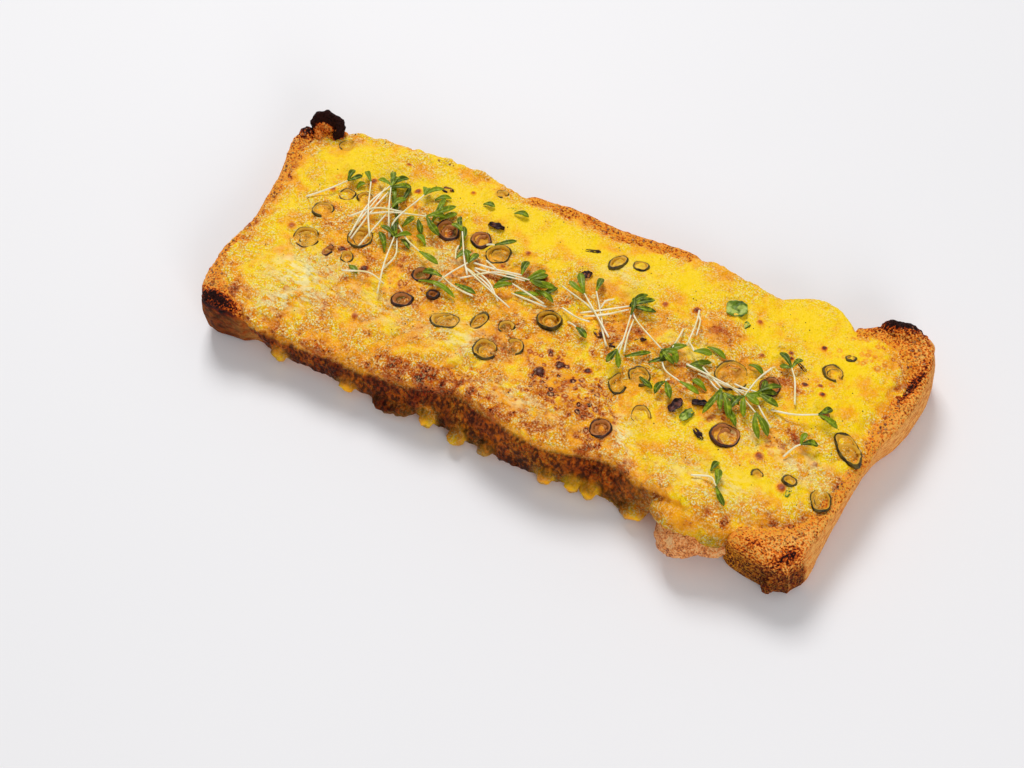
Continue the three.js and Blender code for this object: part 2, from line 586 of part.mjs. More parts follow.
const ground = [bread, tuna, cheese];
const toppings = [];
RINGS.forEach((ring, index) => {
  const body = clearOf(ringSolid(ring), ground);
  toppings.push(body);
  const name = `spring_onion_ring_${String(index + 1).padStart(2, '0')}`;
  tunaBread.add(meshOf(name, body, COLORS.ring, 0.5));
});
for (const scrap of SCRAPS) {
  const body = clearOf(scrapSolid(scrap), [...ground, ...toppings]);
  toppings.push(body);
  tunaBread.add(meshOf(scrap.name, body, scrap.color, 0.6));
}
for (const [name, sprouts] of Object.entries(CRESS)) {
  const parts = sprouts.flatMap(sproutSolids);
  const body = clearOf(whole(wasm.Manifold.union(parts)), [...ground, ...toppings]);
  toppings.push(body);
  tunaBread.add(meshOf(name, body, COLORS.cress, 0.5));
}

tunaBread.position.set(-MIDDLE[0], -MIDDLE[1], 0);

export default tunaBread;
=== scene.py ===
# %% [markdown]
# This is the lower half of a loaf, cut lengthwise, spread with tuna, covered with cheese and baked.
# Spring onion rings have sunk into the cheese, and sprouts of cress lie on top.
# The solids are already at their true size, so this script gives each layer a fine surface
# of its own and rides it on the part's one body.

import math
import random

import bmesh
import bpy
import numpy as np
from mathutils import Matrix, Vector, noise
from mathutils.bvhtree import BVHTree


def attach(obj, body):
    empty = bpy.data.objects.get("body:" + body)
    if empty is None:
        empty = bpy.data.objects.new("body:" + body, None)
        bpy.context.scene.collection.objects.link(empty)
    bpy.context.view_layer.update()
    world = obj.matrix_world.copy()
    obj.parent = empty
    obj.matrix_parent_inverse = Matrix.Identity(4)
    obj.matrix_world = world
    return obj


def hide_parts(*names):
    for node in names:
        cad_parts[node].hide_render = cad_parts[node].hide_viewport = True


# Without a seed, vector noise would come out differently on every run.
noise.seed_set(3)
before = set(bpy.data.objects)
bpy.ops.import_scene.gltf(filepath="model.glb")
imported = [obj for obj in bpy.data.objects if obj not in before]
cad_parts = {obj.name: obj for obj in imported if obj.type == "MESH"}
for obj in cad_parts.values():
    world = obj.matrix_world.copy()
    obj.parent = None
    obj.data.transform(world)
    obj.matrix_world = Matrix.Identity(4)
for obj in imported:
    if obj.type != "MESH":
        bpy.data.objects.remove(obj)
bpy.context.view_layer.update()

# %% [markdown]
# The loaf was drawn as a plan in millimetres, with its long side along X.
# We keep working in that plan, because its numbers are easy to read, and turn each finished mesh
# into metres round the middle of the plan at the very end.

# %% Plan units and small helpers
MM = 0.001
PLAN_MIDDLE = (1.2, -2.0)
TO_FRAME = Matrix.Scale(MM, 4) @ Matrix.Translation((-PLAN_MIDDLE[0], -PLAN_MIDDLE[1], 0))


def ramp(start, end, value):
    """A smooth step from 0 at start to 1 at end."""
    u = np.clip((value - start) / (end - start), 0, 1)
    return u * u * (3 - 2 * u)


def mix(a, b, share):
    """Goes from a to b as share goes from 0 to 1."""
    return a + (b - a) * share


def curve(*knots):
    """A smooth curve through a few knots of place and value, level past its two ends."""
    places, values = np.array(knots, float).T
    count = len(knots)
    before = np.maximum(np.arange(count) - 1, 0)
    after = np.minimum(np.arange(count) + 1, count - 1)
    slopes = (values[after] - values[before]) / (places[after] - places[before])

    def at(place):
        place = np.asarray(place, float)
        i = np.clip(np.searchsorted(places, place) - 1, 0, count - 2)
        span = places[i + 1] - places[i]
        u = np.clip((place - places[i]) / span, 0, 1)
        bend = u * (1 - u) ** 2 * slopes[i] - u * u * (1 - u) * slopes[i + 1]
        return mix(values[i], values[i + 1], u * u * (3 - 2 * u)) + bend * span

    return at


def clouds(points, size, shift=0.0):
    """Smooth noise from about -1 to 1 for every point. Its lumps are about size across."""
    cells = (points / size + shift).tolist()
    return np.array([noise.noise(cell) for cell in cells])


# %% [markdown]
# The outline of the loaf is the same one that the solids have: the rim of the cut half,
# the foot that it stands on, and how far the cheese stops short of the rim.

# %% Outline of the loaf and of the cheese
CUT_FACE = 14.0
CHEESE_DEPTH = 3.4
CHEESE_SIDE = 2.4
TUNA_MARGIN = 5.0
CORNER = 3.5
RIM_DROP = 0.6
RIM = {
    "near": curve((-119, -41), (-110, -40.8), (-100, -41.5), (-60, -41), (-35, -40.5), (-21, -37.5),
                  (-6, -41.5), (18, -45.5), (39, -39.5), (53, -44.5), (70, -49), (88, -52), (109, -54.5)),
    "far": curve((-127, 48), (-118, 52), (-104, 54.5), (-60, 55.5), (-38, 53.8), (-16, 55), (4, 52.8),
                 (20, 54.3), (36, 54.8), (48, 52.3), (62, 50.5), (70, 45), (82, 47), (97, 48), (106, 52),
                 (118, 56.5)),
    "left": curve((0, -121.5), (0.13, -123.5), (0.28, -124.5), (0.44, -121.8), (0.56, -122.5),
                  (0.7, -123.5), (0.82, -125.5), (0.92, -127.5), (1, -127.5)),
    "right": curve((0, 110), (0.1, 112.5), (0.25, 116), (0.45, 120), (0.52, 121), (0.62, 125),
                   (0.72, 127), (0.82, 127.5), (0.92, 126), (1, 123)),
}
FOOT = {
    "near": curve((-119, -42.5), (-110, -41), (-100, -40.8), (-80, -41.5), (-50, -43), (-27, -44),
                  (-10, -46), (12, -47), (34, -46.5), (53, -47.6), (68, -45), (80, -47.5), (92, -53),
                  (112, -55.5)),
    "far": curve((-125, 45), (-105, 53), (-60, 54), (0, 54), (50, 53), (75, 50), (100, 51), (122, 57)),
    "left": curve((0, -121.5), (0.13, -122), (0.28, -122.5), (0.44, -120.5), (0.8, -124.5), (1, -126)),
    "right": curve((0, 114), (0.1, 116.3), (0.3, 117), (0.42, 117.8), (0.54, 120.8), (0.66, 127),
                   (0.78, 130), (0.87, 130.5), (0.94, 129), (1, 126)),
}
BARE = {
    "near": curve((-119, 7), (-108, 4.5), (-99, 0), (83, 0), (89, 3), (96, 8), (104, 14), (112, 22)),
    "far": curve((-126, 7), (-112, 3), (-104, 0), (-42, 0), (-30, 3), (0, 4), (32, 3), (44, 0),
                 (64, 0), (73, -6), (84, -7), (94, -2.5), (99, 3), (110, 8), (120, 12)),
    "left": curve((0, 5), (0.12, 1.5), (0.55, 1.5), (0.75, 3.5), (1, 5)),
    "right": curve((0, -1.5), (0.1, -0.5), (0.25, 0), (0.45, 1.2), (0.56, 4), (0.68, 5.5), (0.85, 5.5),
                   (1, 6.5)),
}
SKIRT = {
    "near": curve((-110, 18), (-102, 14), (-94, 6), (-84, 4), (-60, 4.5), (-48, 3), (-30, 3.5), (-14, 4),
                  (10, 3), (34, 3.5), (52, 4), (60, 12), (80, 12), (86, 8), (92, 17), (110, 17)),
    "far": curve((-120, 17), (-102, 14), (-80, 10), (-60, 13), (-42, 15), (-30, 18), (34, 18), (46, 13),
                 (62, 15), (72, 9), (84, 7), (96, 12), (104, 18), (118, 18)),
}
INWARD = {"near": 1, "left": 1, "far": -1, "right": -1}


def nothing_bare(side, at):
    return 0.0


def cheese_bare(side, at):
    return BARE[side](at)


def covered_bare(side, at):
    return np.maximum(BARE[side](at), 0)


def how_bare(side, x):
    """1 where the cheese stops on the bread at this side, and 0 where it runs down over the edge."""
    return ramp(0, 3, BARE[side](x))


def side_line(side, at, share, inset, bare):
    """Where a side runs, at a share of the height, moved inwards by inset and by what stays bare."""
    line = mix(FOOT[side](at), RIM[side](at), share)
    return line + INWARD[side] * (inset + bare(side, at))


def corner_pull(s, t):
    """How far a point near a corner is pulled in, which rounds the corner off."""
    return CORNER * ramp(0.94, 1, abs(2 * s - 1)) * ramp(0.84, 1, abs(2 * t - 1)) / 2


def place(s, t, share=1.0, inset=0.0, bare=nothing_bare):
    """The plan place at s along the loaf, from left to right, and t across it, from near to far."""
    x = mix(side_line("left", t, share, inset, bare), side_line("right", t, share, inset, bare), s)
    y = mix(side_line("near", x, share, inset, bare), side_line("far", x, share, inset, bare), t)
    pull = corner_pull(s, t)
    return x - np.sign(2 * s - 1) * pull, y - np.sign(2 * t - 1) * pull


# %% [markdown]
# The top is three lengthwise height curves, blended across, with mounds, creases and low waves.

# %% Height of the top
NEAR_TOP = curve((-119, 22.5), (-107, 21), (-95, 17.5), (-60, 18), (-35, 20.5), (-10, 23.5), (20, 23),
                 (40, 21), (70, 23), (108, 19.5))
MIDDLE_TOP = curve((-122, 19.5), (-95, 20.5), (-40, 22), (20, 22.5), (90, 22.5), (122, 19.5))
FAR_TOP = curve((-126, 20.5), (-100, 19.5), (0, 20.5), (70, 19), (95, 20), (118, 21.5))
# Each mound: where, its reach along and across, its turn in degrees and its rise.
MOUNDS = [
    ((70, -44), (17, 9), 0, 3.0), ((14, -30), (20, 8), -8, 1.8), ((-38, -29), (13, 8), 20, 1.6),
    ((-84, -22), (14, 12), 0, 1.2), ((-70, 28), (16, 10), 10, 1.2), ((2, 30), (22, 8), 0, 1.0),
    ((92, -6), (13, 11), 30, 1.6), ((58, 22), (14, 9), -20, 1.2), ((-10, -4), (15, 9), -20, 1.1),
    ((90, 36), (12, 9), 0, -1.6), ((-48, 4), (9, 6), 30, -1.0),
]
# Each valley: the points that it runs through, its half width and its depth.
VALLEYS = [
    (((28, -12), (35, -21), (46, -33), (52, -43)), 4.0, 2.4),
    (((122, 36), (119, 20), (115, 8)), 3.2, 1.6),
    (((80, -47), (95, -44), (107, -35), (115, -21)), 3.6, 1.5),
    (((-56, -40), (-51, -28)), 3.0, 1.6),
    (((-24, -42), (-21, -31)), 4.0, 2.0),
]


def bell(x, y, spot):
    """A smooth hill: 1 in the middle of a turned ellipse, and near 0 outside it."""
    (middle_x, middle_y), (reach_along, reach_across), turn = spot[:3]
    cos, sin = math.cos(math.radians(turn)), math.sin(math.radians(turn))
    dx, dy = x - middle_x, y - middle_y
    along = (dx * cos + dy * sin) / reach_along
    across = (dy * cos - dx * sin) / reach_across
    return np.exp(-along * along - across * across)


def distance_to(x, y, points):
    """The distance from each place to a line through a few points."""
    best = np.full(np.shape(x), np.inf)
    for (ax, ay), (bx, by) in zip(points, points[1:]):
        u = ((x - ax) * (bx - ax) + (y - ay) * (by - ay)) / ((bx - ax) ** 2 + (by - ay) ** 2)
        u = np.clip(u, 0, 1)
        best = np.minimum(best, np.hypot(x - ax - u * (bx - ax), y - ay - u * (by - ay)))
    return best


def surface(x, y):
    """The height of the finished top at a place, before its fine relief."""
    near = RIM["near"](x)
    t = np.clip((y - near) / (RIM["far"](x) - near), 0, 1)
    z = NEAR_TOP(x) * (1 - t) * (1 - 2 * t) + MIDDLE_TOP(x) * 4 * t * (1 - t) + FAR_TOP(x) * t * (2 * t - 1)
    for mound in MOUNDS:
        z = z + mound[3] * bell(x, y, mound)
    for points, half, depth in VALLEYS:
        z = z - depth * np.exp(-(distance_to(x, y, points) / half) ** 2)
    return z + 0.35 * np.sin(x / 7 + 1.3) * np.sin(y / 6) + 0.3 * np.sin(x / 11 - y / 5)


def cheese_gaps(x, y):
    """For each side, how far a place lies inside the edge of the cheese, and how bare that side is."""
    near = RIM["near"](x) + BARE["near"](x)
    far = RIM["far"](x) - BARE["far"](x)
    t = np.clip((y - near) / (far - near), 0, 1)
    left = RIM["left"](t) + BARE["left"](t)
    right = RIM["right"](t) - BARE["right"](t)
    s = np.clip((x - left) / (right - left), 0, 1)
    pull = corner_pull(s, t)
    return {
        "near": (y - near - pull, how_bare("near", x)),
        "far": (far - y - pull, how_bare("far", x)),
        "left": (x - left - pull, 1.0),
        "right": (right - x - pull, 1.0),
    }


def near_bare_edge(x, y, start, end):
    """1 up to start millimetres inside a bare edge of the cheese, fading to 0 at end millimetres."""
    near = np.zeros(np.shape(x))
    for gap, bareness in cheese_gaps(x, y).values():
        near = np.maximum(near, bareness * (1 - ramp(start, end, gap)))
    return near


# %% [markdown]
# Cheese, bread and tuna are all layers of the same plan, so one builder makes them: a grid for the
# top, whose rim is extruded ring after ring down the side. Every point remembers how far along,
# how far across and on which ring it is, and a function turns that into its place.

# %% Layer builder
GRID_LAYERS = ("along", "across", "ring")


def new_shape(*names):
    """An empty mesh that keeps a number by each of these names for every point."""
    shape = bmesh.new()
    for name in names:
        shape.verts.layers.float.new(name)
    return shape


def layers_of(shape, *names):
    """The layers that hold those numbers."""
    return [shape.verts.layers.float[name] for name in names]


def add_grid(shape, cells, ring):
    """Adds a flat grid whose points know their share along and across."""
    made = bmesh.ops.create_grid(shape, x_segments=cells[0], y_segments=cells[1], size=1)["verts"]
    along, across, number = layers_of(shape, *GRID_LAYERS)
    for point in made:
        point[along] = (point.co.x + 1) / 2
        point[across] = (point.co.y + 1) / 2
        point[number] = ring


def open_rim(shape):
    return [edge for edge in shape.edges if edge.is_boundary]


def extrude_rings(shape, rim, rings):
    """Extrudes the open rim once for each ring number, and gives it to the new points."""
    number = shape.verts.layers.float["ring"]
    for ring in rings:
        grown = bmesh.ops.extrude_edge_only(shape, edges=rim)["geom"]
        rim = [part for part in grown if isinstance(part, bmesh.types.BMEdge) and part.is_boundary]
        for point in {point for edge in rim for point in edge.verts}:
            point[number] = ring
    return rim


def thin_rim(shape, rim, cells, step):
    """Merges the points of the rim so that only every third one, say, is left."""
    along, across = layers_of(shape, "along", "across")
    found = {}
    for point in {point for edge in rim for point in edge.verts}:
        found[round(point[along] * cells[0]), round(point[across] * cells[1])] = point
    target = {}
    for (i, j), point in found.items():
        kept = (step * round(i / step), step * round(j / step))
        if j in (0, cells[1]):
            kept = (kept[0], j)
        elif i in (0, cells[0]):
            kept = (i, kept[1])
        if found[kept] is not point:
            target[point] = found[kept]
    left = set(found.values()) - set(target)
    bmesh.ops.weld_verts(shape, targetmap=target)
    return [edge for edge in shape.edges if edge.is_boundary and left.issuperset(edge.verts)]


def shape_numbers(shape):
    """The shares and ring numbers of all points, as three arrays."""
    return [np.array([point[layer] for point in shape.verts]) for layer in layers_of(shape, *GRID_LAYERS)]


def set_places(shape, x, y, z):
    """Moves all points to the places given by three arrays."""
    for point, spot in zip(shape.verts, np.stack([x, y, z], axis=1).tolist()):
        point.co = spot


def close_and_turn_out(shape):
    """Merges what coincides and turns all faces outwards."""
    bmesh.ops.remove_doubles(shape, verts=shape.verts, dist=0.001)
    bmesh.ops.dissolve_degenerate(shape, edges=shape.edges, dist=0.0005)
    bmesh.ops.recalc_face_normals(shape, faces=shape.faces)
    open_edges = sum(not edge.is_manifold for edge in shape.edges)
    print("   faces:", len(shape.faces), "open edges:", open_edges)


def to_piece(shape, name):
    """Writes a bmesh, still in plan millimetres, into a new object."""
    mesh = bpy.data.meshes.new(name)
    shape.to_mesh(mesh)
    shape.free()
    piece = bpy.data.objects.new(name, mesh)
    bpy.context.scene.collection.objects.link(piece)
    return piece


def read_points(piece):
    """The points of a piece and their normals, as two arrays."""
    mesh = piece.data
    points = np.zeros(len(mesh.vertices) * 3)
    normals = np.zeros(len(mesh.vertices) * 3)
    mesh.vertices.foreach_get("co", points)
    mesh.vertex_normals.foreach_get("vector", normals)
    return points.reshape(-1, 3), normals.reshape(-1, 3)


def write_points(piece, points):
    """Moves the points of a piece to the places in one array."""
    piece.data.vertices.foreach_set("co", points.ravel())
    piece.data.update()


def read_number(piece, name):
    values = np.zeros(len(piece.data.vertices))
    piece.data.attributes[name].data.foreach_get("value", values)
    return values


def write_numbers(piece, **numbers):
    """Stores numbers from 0 to 1 for each point, which the piece's material reads by name."""
    mesh = piece.data
    for name, values in numbers.items():
        values = np.clip(np.broadcast_to(values, len(mesh.vertices)), 0, 1)
        mesh.attributes.new(name, "FLOAT", "POINT").data.foreach_set("value", values.astype(np.float32))


def finish_piece(piece, slot, material, *nodes):
    """Turns a piece from plan millimetres into the frame, and hides the solids that it stands for."""
    piece.data.transform(TO_FRAME)
    for layer in GRID_LAYERS:
        if layer in piece.data.attributes:
            piece.data.attributes.remove(piece.data.attributes[layer])
    for face in piece.data.polygons:
        face.use_smooth = True
    piece.data.materials.append(material)
    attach(piece, "root")
    if nodes:
        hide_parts(*nodes)
    print(piece.name, "triangles:", sum(len(face.vertices) - 2 for face in piece.data.polygons))


# %% [markdown]
# Drips, crags and the lump of tuna are ellipsoids in the solids. Here the nearby skin is pushed out
# along its normals until it lies on the same ellipsoid, so it keeps that form without a seam.

# %% Swelling a skin out to an ellipsoid
def swell(points, normals, at, reach, allowed=1.0):
    """Moves the points inside an ellipsoid out to its surface along their normals."""
    local = (points - np.array(at)) / np.array(reach)
    ray = normals / np.array(reach)
    depth = 1 - (local ** 2).sum(1)
    a = (ray ** 2).sum(1)
    b = (local * ray).sum(1)
    inside = depth > 0
    push = np.where(inside, (-b + np.sqrt(np.maximum(b * b + a * depth, 0))) / a, 0)
    push *= ramp(0, 0.2, depth) * allowed
    return points + normals * push[:, None]


# %% [markdown]
# The colours and the relief of the cheese change from place to place. Rather than paint them by
# hand, we name the toasted, the smooth and the pale places as soft ellipses on the plan.

# %% Places on the cheese
# Each spot: where, its reach along and across, its turn in degrees and its strength.
TOASTED = [
    ((-25, -38), (10, 6), 10, 1.0), ((-38, -40), (14, 6), -4, 0.85), ((-12, -37), (12, 5), -12, 0.7),
    ((14, -26), (20, 9), -8, 0.62), ((34, -41), (14, 5), -30, 0.85), ((5, -40), (24, 4), -8, 0.5),
    ((-58, -6), (11, 9), 20, 0.4), ((-75, 20), (10, 8), 0, 0.3), ((-33, 6), (11, 7), 0, 0.4),
    ((9, 23), (10, 7), 0, 0.35), ((29, 13), (10, 8), 0, 0.45), ((54, 25), (12, 7), 0, 0.4),
    ((83, 14), (9, 7), 0, 0.45), ((60, -4), (13, 8), 0, 0.45), ((62, -31), (9, 7), 0, 0.4),
    ((69, -52), (15, 6), 0, 0.15), ((-111, -34), (7, 6), -20, 0.95), ((-117, 43), (8, 7), 0, 0.6),
    ((114, 43), (9, 7), 0, 0.5), ((-121, 15), (4, 26), 0, 0.5), ((99, -41), (13, 5), 25, 0.55),
    ((119, 14), (3, 24), 0, 0.5), ((0, 51), (42, 4), 0, 0.5),
    ((-12, -41), (46, 4.5), -3, 0.6), ((50, -43), (9, 4), -20, 0.45), ((-70, -41), (42, 3), 0, 0.55),
    ((-90, -38), (8, 5), 0, 0.5), ((-19, 15), (8, 6), 0, 0.4), ((95, -12), (9, 7), 0, 0.3),
]
SMOOTH = [
    ((-100, 38), (17, 11), -5, 0.95), ((-55, 42), (32, 9), 0, 0.9), ((-5, 38), (36, 11), 0, 0.9),
    ((38, 40), (24, 10), 0, 0.8), ((80, 44), (15, 11), 0, 1.0), ((100, 30), (15, 15), 0, 1.0),
    ((104, 8), (12, 13), 0, 0.75), ((86, -29), (18, 10), 10, 0.8), ((64, -22), (11, 8), 0, 0.65),
    ((-112, 8), (8, 24), 0, 0.5), ((46, -28), (5, 13), 30, 0.75), ((-104, -18), (9, 14), 0, 0.5),
    ((70, 28), (14, 9), 0, 0.6), ((24, 22), (16, 8), 0, 0.5), ((-24, 28), (16, 8), 0, 0.5),
    ((86, 4), (14, 8), 0, 0.4), ((52, -12), (9, 7), 0, 0.4),
]
PALE = [
    ((-92, -15), (11, 8), 20, 1.0), ((-90, -27), (12, 4), 25, 0.95), ((41, -31), (3, 8), 25, 1.0),
    ((-28, -19), (13, 6), 0, 0.5), ((75, -37), (14, 6), 0, 0.5), ((4, -34), (14, 4), -5, 0.4),
    ((100, -18), (9, 6), 0, 0.45), ((-62, -18), (12, 7), 0, 0.35), ((14, 32), (9, 6), 0, 0.35),
    ((-46, 10), (9, 6), 0, 0.4), ((80, -14), (9, 5), 0, 0.4), ((48, 12), (8, 6), 0, 0.4),
]
# Here small bubbles have burst and left brown rims.
BUBBLY = [
    ((14, -20), (17, 11), -10, 1.0), ((30, -30), (12, 7), 0, 0.5), ((-50, -4), (14, 9), 0, 0.5),
    ((60, -10), (16, 10), 0, 0.45), ((-78, -20), (16, 9), 0, 0.3), ((88, -18), (14, 10), 0, 0.4),
    ((20, 10), (20, 10), 0, 0.3), ((-30, 15), (16, 10), 0, 0.4), ((95, 12), (12, 12), 0, 0.35),
    ((106, 38), (14, 9), 0, 0.6), ((-4, -32), (26, 6), 0, 0.4), ((-96, 28), (14, 10), 0, 0.3),
]


def strength(x, y, spots):
    """How strongly a place lies in a list of soft-edged spots, from 0 to 1."""
    left = np.ones(np.shape(x))
    for spot in spots:
        left = left * (1 - spot[3] * bell(x, y, spot))
    return 1 - left


# Blisters stand up from the cheese and have burnt caps: where, radius and how burnt.
BLISTERS = [
    (10.1, -14.6, 1.9, 0.9), (19.9, -12.7, 1.7, 0.9), (4.9, -20.9, 2.2, 1.0), (4.5, -10.8, 1.4, 0.6),
    (-100.8, 24.2, 1.6, 0.8), (-88.5, 33.8, 1.5, 0.7), (-70.9, 35.6, 1.7, 0.9), (80.8, 25.8, 1.2, 1.0),
    (81.7, 23.7, 1.1, 1.0), (90.5, 33.9, 1.2, 1.0), (90.1, 14.6, 1.2, 1.0), (94.9, 16.4, 1.1, 1.0),
    (96.8, 13.1, 1.3, 1.0), (33, 26, 1.4, 0.6), (-84, 0, 1.5, 0.7), (-72, -5, 1.9, 0.8),
    (44, 29, 1.6, 0.7), (97, -28, 1.9, 0.9), (104, -14, 1.3, 0.6), (86, -20, 1.8, 0.8),
    (-106, 2, 2.0, 0.5), (-66, -24, 1.4, 0.6), (-94, -24, 1.3, 0.5), (-52, 44, 1.2, 0.8),
    (-80, 46, 1.1, 0.8), (66, 34, 1.3, 0.6), (72, 20, 1.3, 0.7), (2, 26, 1.6, 0.8), (-21, 26, 1.3, 0.6),
]

# %% [markdown]
# Slices of spring onion have sunk into the cheese. They are listed before the cheese is made, because
# it rises against each ring and is tinted inside it.

# %% Places of the onion rings
# Each ring: where, radius, how much longer than wide, its turn, how far it stands out,
# how burnt it is and the share of the circle that shows.
RINGS = [
    (-99.1, 13.3, 4.1, 1.0, 0, 0.1, 0.2, 0.8), (-98.7, -0.6, 4.9, 1.0, 40, 0.1, 0.1, 0.9),
    (-94.5, 23.6, 3.1, 1.1, 20, 0.0, 0.3, 1.0), (-87.4, 24.6, 3.3, 1.0, 10, 0.1, 0.3, 0.6),
    (-80.3, 7.0, 4.7, 1.0, 30, 0.5, 0.1, 1.0), (-80.5, -2.7, 2.5, 1.1, 80, 0.3, 0.0, 1.0),
    (-52.1, 22.9, 4.4, 1.05, 10, 0.7, 0.8, 1.0), (-39.4, 24.8, 3.9, 1.1, 25, 0.5, 0.7, 1.0),
    (-30.6, 20.9, 4.6, 1.05, 50, 0.6, 0.2, 1.0), (-52.0, 1.3, 3.4, 1.1, 15, 0.6, 1.0, 1.0),
    (-53.4, -11.6, 3.1, 1.3, 40, 0.5, 0.9, 1.0), (-44.2, -5.2, 2.4, 1.0, 0, 0.6, 1.0, 1.0),
    (-35.2, -13.7, 3.8, 1.5, 10, 0.4, 0.2, 1.0), (-23.7, -9.5, 2.8, 1.6, 80, 0.5, 0.1, 1.0),
    (-16.3, -20.1, 4.4, 1.0, 20, 0.3, 0.3, 0.9), (-7.4, -14.8, 3.5, 1.1, -60, 0.2, 0.4, 0.6),
    (-1.2, 0.8, 4.6, 1.0, 0, 1.5, 0.0, 1.0), (10.1, 36.3, 2.8, 1.7, 75, 0.8, 0.2, 1.0),
    (18.2, 38.6, 3.0, 1.05, 0, 0.2, 0.1, 1.0), (33.2, -32.2, 3.8, 1.0, 0, 0.4, 0.9, 1.0),
    (31.0, -12.2, 3.7, 1.0, 100, 0.5, 0.3, 0.7), (36.7, -6.9, 4.1, 1.05, -70, 0.5, 0.3, 0.8),
    (65.5, 7.1, 6.3, 1.0, 30, 0.2, 0.2, 0.9), (79.3, 8.2, 4.1, 1.0, 10, 0.4, 0.6, 1.0),
    (96.9, 24.2, 3.9, 1.0, -20, 0.3, 0.5, 0.9), (72.7, -17.4, 4.9, 1.05, 30, 0.5, 0.7, 1.0),
    (112.2, -3.2, 4.2, 1.7, -40, 0.8, 0.2, 1.0), (98.6, -24.2, 2.4, 1.1, 20, 0.5, 0.2, 1.0),
    (110.4, -25.1, 4.0, 1.0, 0, 0.1, 0.1, 1.0), (100.5, 33.0, 1.8, 1.2, 0, 0.1, 0.2, 1.0),
]
# These lie almost under the cheese, and have no solid of their own.
FAINT_RINGS = [
    (43.2, -21.2, 3.8, 1.0, 0, -0.1, 0.3, 0.7), (-13.7, -8.4, 2.9, 1.1, 0, 0.0, 0.4, 0.7),
    (-11.6, 16.6, 3.0, 1.0, 50, 0.2, 0.8, 0.8), (100.8, 5.0, 2.0, 1.0, 0, 0.2, 0.6, 1.0),
    (-42.1, 48.1, 2.2, 1.2, 10, 0.0, 0.2, 0.8), (-106.3, 45.7, 3.3, 1.0, 70, 0.0, 0.4, 0.5),
    (-88.6, -2.5, 2.2, 1.3, 60, 0.1, 0.7, 0.8), (-69.0, 14.5, 2.4, 1.0, 0, 0.1, 0.5, 0.8),
    (-61.5, 41.5, 2.1, 1.2, 0, 0.0, 0.6, 0.8), (88.0, -27.0, 2.2, 1.0, 0, 0.0, 0.5, 0.6),
]
BURNT_FROM = 0.6


def ring_distance(x, y, ring):
    """How far a place is from the middle of a ring, as a share of its radius."""
    turn = math.radians(ring[4])
    dx, dy = x - ring[0], y - ring[1]
    along = (dx * math.cos(turn) + dy * math.sin(turn)) / (ring[2] * ring[3])
    across = (dy * math.cos(turn) - dx * math.sin(turn)) / ring[2]
    return np.hypot(along, across)


# %% [markdown]
# The cheese is a blanket. On most of its rim it runs down over the side, and round the corners and
# the right end it stops on the bread in a thin edge. Both profiles are worked out for every point of
# the rim, and blended by how bare that side is.

# %% Cheese: the blanket
CHEESE_CELLS = (354, 138)
COARSE = 3
CHEESE_WALL = 24
SHOULDER = 0.14
SHOULDER_IN = 1.5
SHOULDER_DOWN = 1.3
LOWEST_CHEESE = 0.4
# Each drip: its place along the near side, the height of its middle and its reach.
DRIPS = [
    (-88.7, 5.5, (2.8, 2.3, 4.8)), (-60, 5, (3, 2.2, 4)), (-44.5, 3.4, (5.5, 2.6, 2.6)),
    (-38, 4, (3.4, 2.4, 3)), (-28, 5.6, (2.8, 2.6, 4.8)), (-15.8, 4, (3.4, 3.4, 3.6)),
    (-4, 5, (3, 2.1, 4.2)), (19.5, 5, (3, 2.4, 4.2)), (29.2, 4.6, (2.8, 2.4, 3.8)),
    (35.6, 4.2, (3, 2.8, 3.6)), (52, 4, (5, 2.6, 3.4)),
]
# Where the cheese hangs over the lump of tuna: middle and reach.
DRAPES = [((70.5, -47.8, 17.3), (12, 8, 6.4)), ((80, -48.6, 16), (9, 6.4, 5.6))]
WALL_SHARE = curve((0, 1), (SHOULDER, 1), (0.55, 0.6), (1, 0.2))
WALL_BULGE = curve((0, 0), (SHOULDER, 0), (0.55, -0.6), (1, 0))


def cheese_shape():
    """The grid of the top, its wall, its underside and the ceiling over the tuna, as one mesh."""
    shape = new_shape(*GRID_LAYERS)
    add_grid(shape, CHEESE_CELLS, 0)
    rim = extrude_rings(shape, open_rim(shape), range(1, CHEESE_WALL + 4))
    rim = thin_rim(shape, rim, CHEESE_CELLS, COARSE)
    extrude_rings(shape, rim, range(CHEESE_WALL + 4, CHEESE_WALL + 7))
    add_grid(shape, [count // COARSE for count in CHEESE_CELLS], CHEESE_WALL + 7)
    return shape


def drip_edge(x, edge):
    """Lowers the edge of the cheese to the tip of every drip."""
    for middle, height, reach in DRIPS:
        tongue = np.exp(-((x - middle) / (0.7 * reach[0])) ** 4)
        edge = mix(edge, np.minimum(edge, height - 0.5 * reach[2]), tongue)
    return edge


def cheese_hang(s, t):
    """For each point of the rim: how bare its side is, and how low the cheese hangs there."""
    x, y = place(s, t, bare=cheese_bare)
    bare = np.ones(len(s))
    edge = np.full(len(s), CUT_FACE)
    between_ends = (s >= 1e-6) & (s <= 1 - 1e-6)
    uneven = 0.9 * clouds(np.stack([x, y, 0 * x], axis=1), 9.0, 4.0)
    for side, on_side in (("near", t < 1e-6), ("far", t > 1 - 1e-6)):
        low = np.minimum(SKIRT[side](x), CUT_FACE)
        if side == "near":
            low = drip_edge(x, low)
        here = on_side & between_ends
        bare = np.where(here, how_bare(side, x), bare)
        edge = np.where(here, low - uneven, edge)
    return bare, np.clip(edge, 0.8, CUT_FACE)


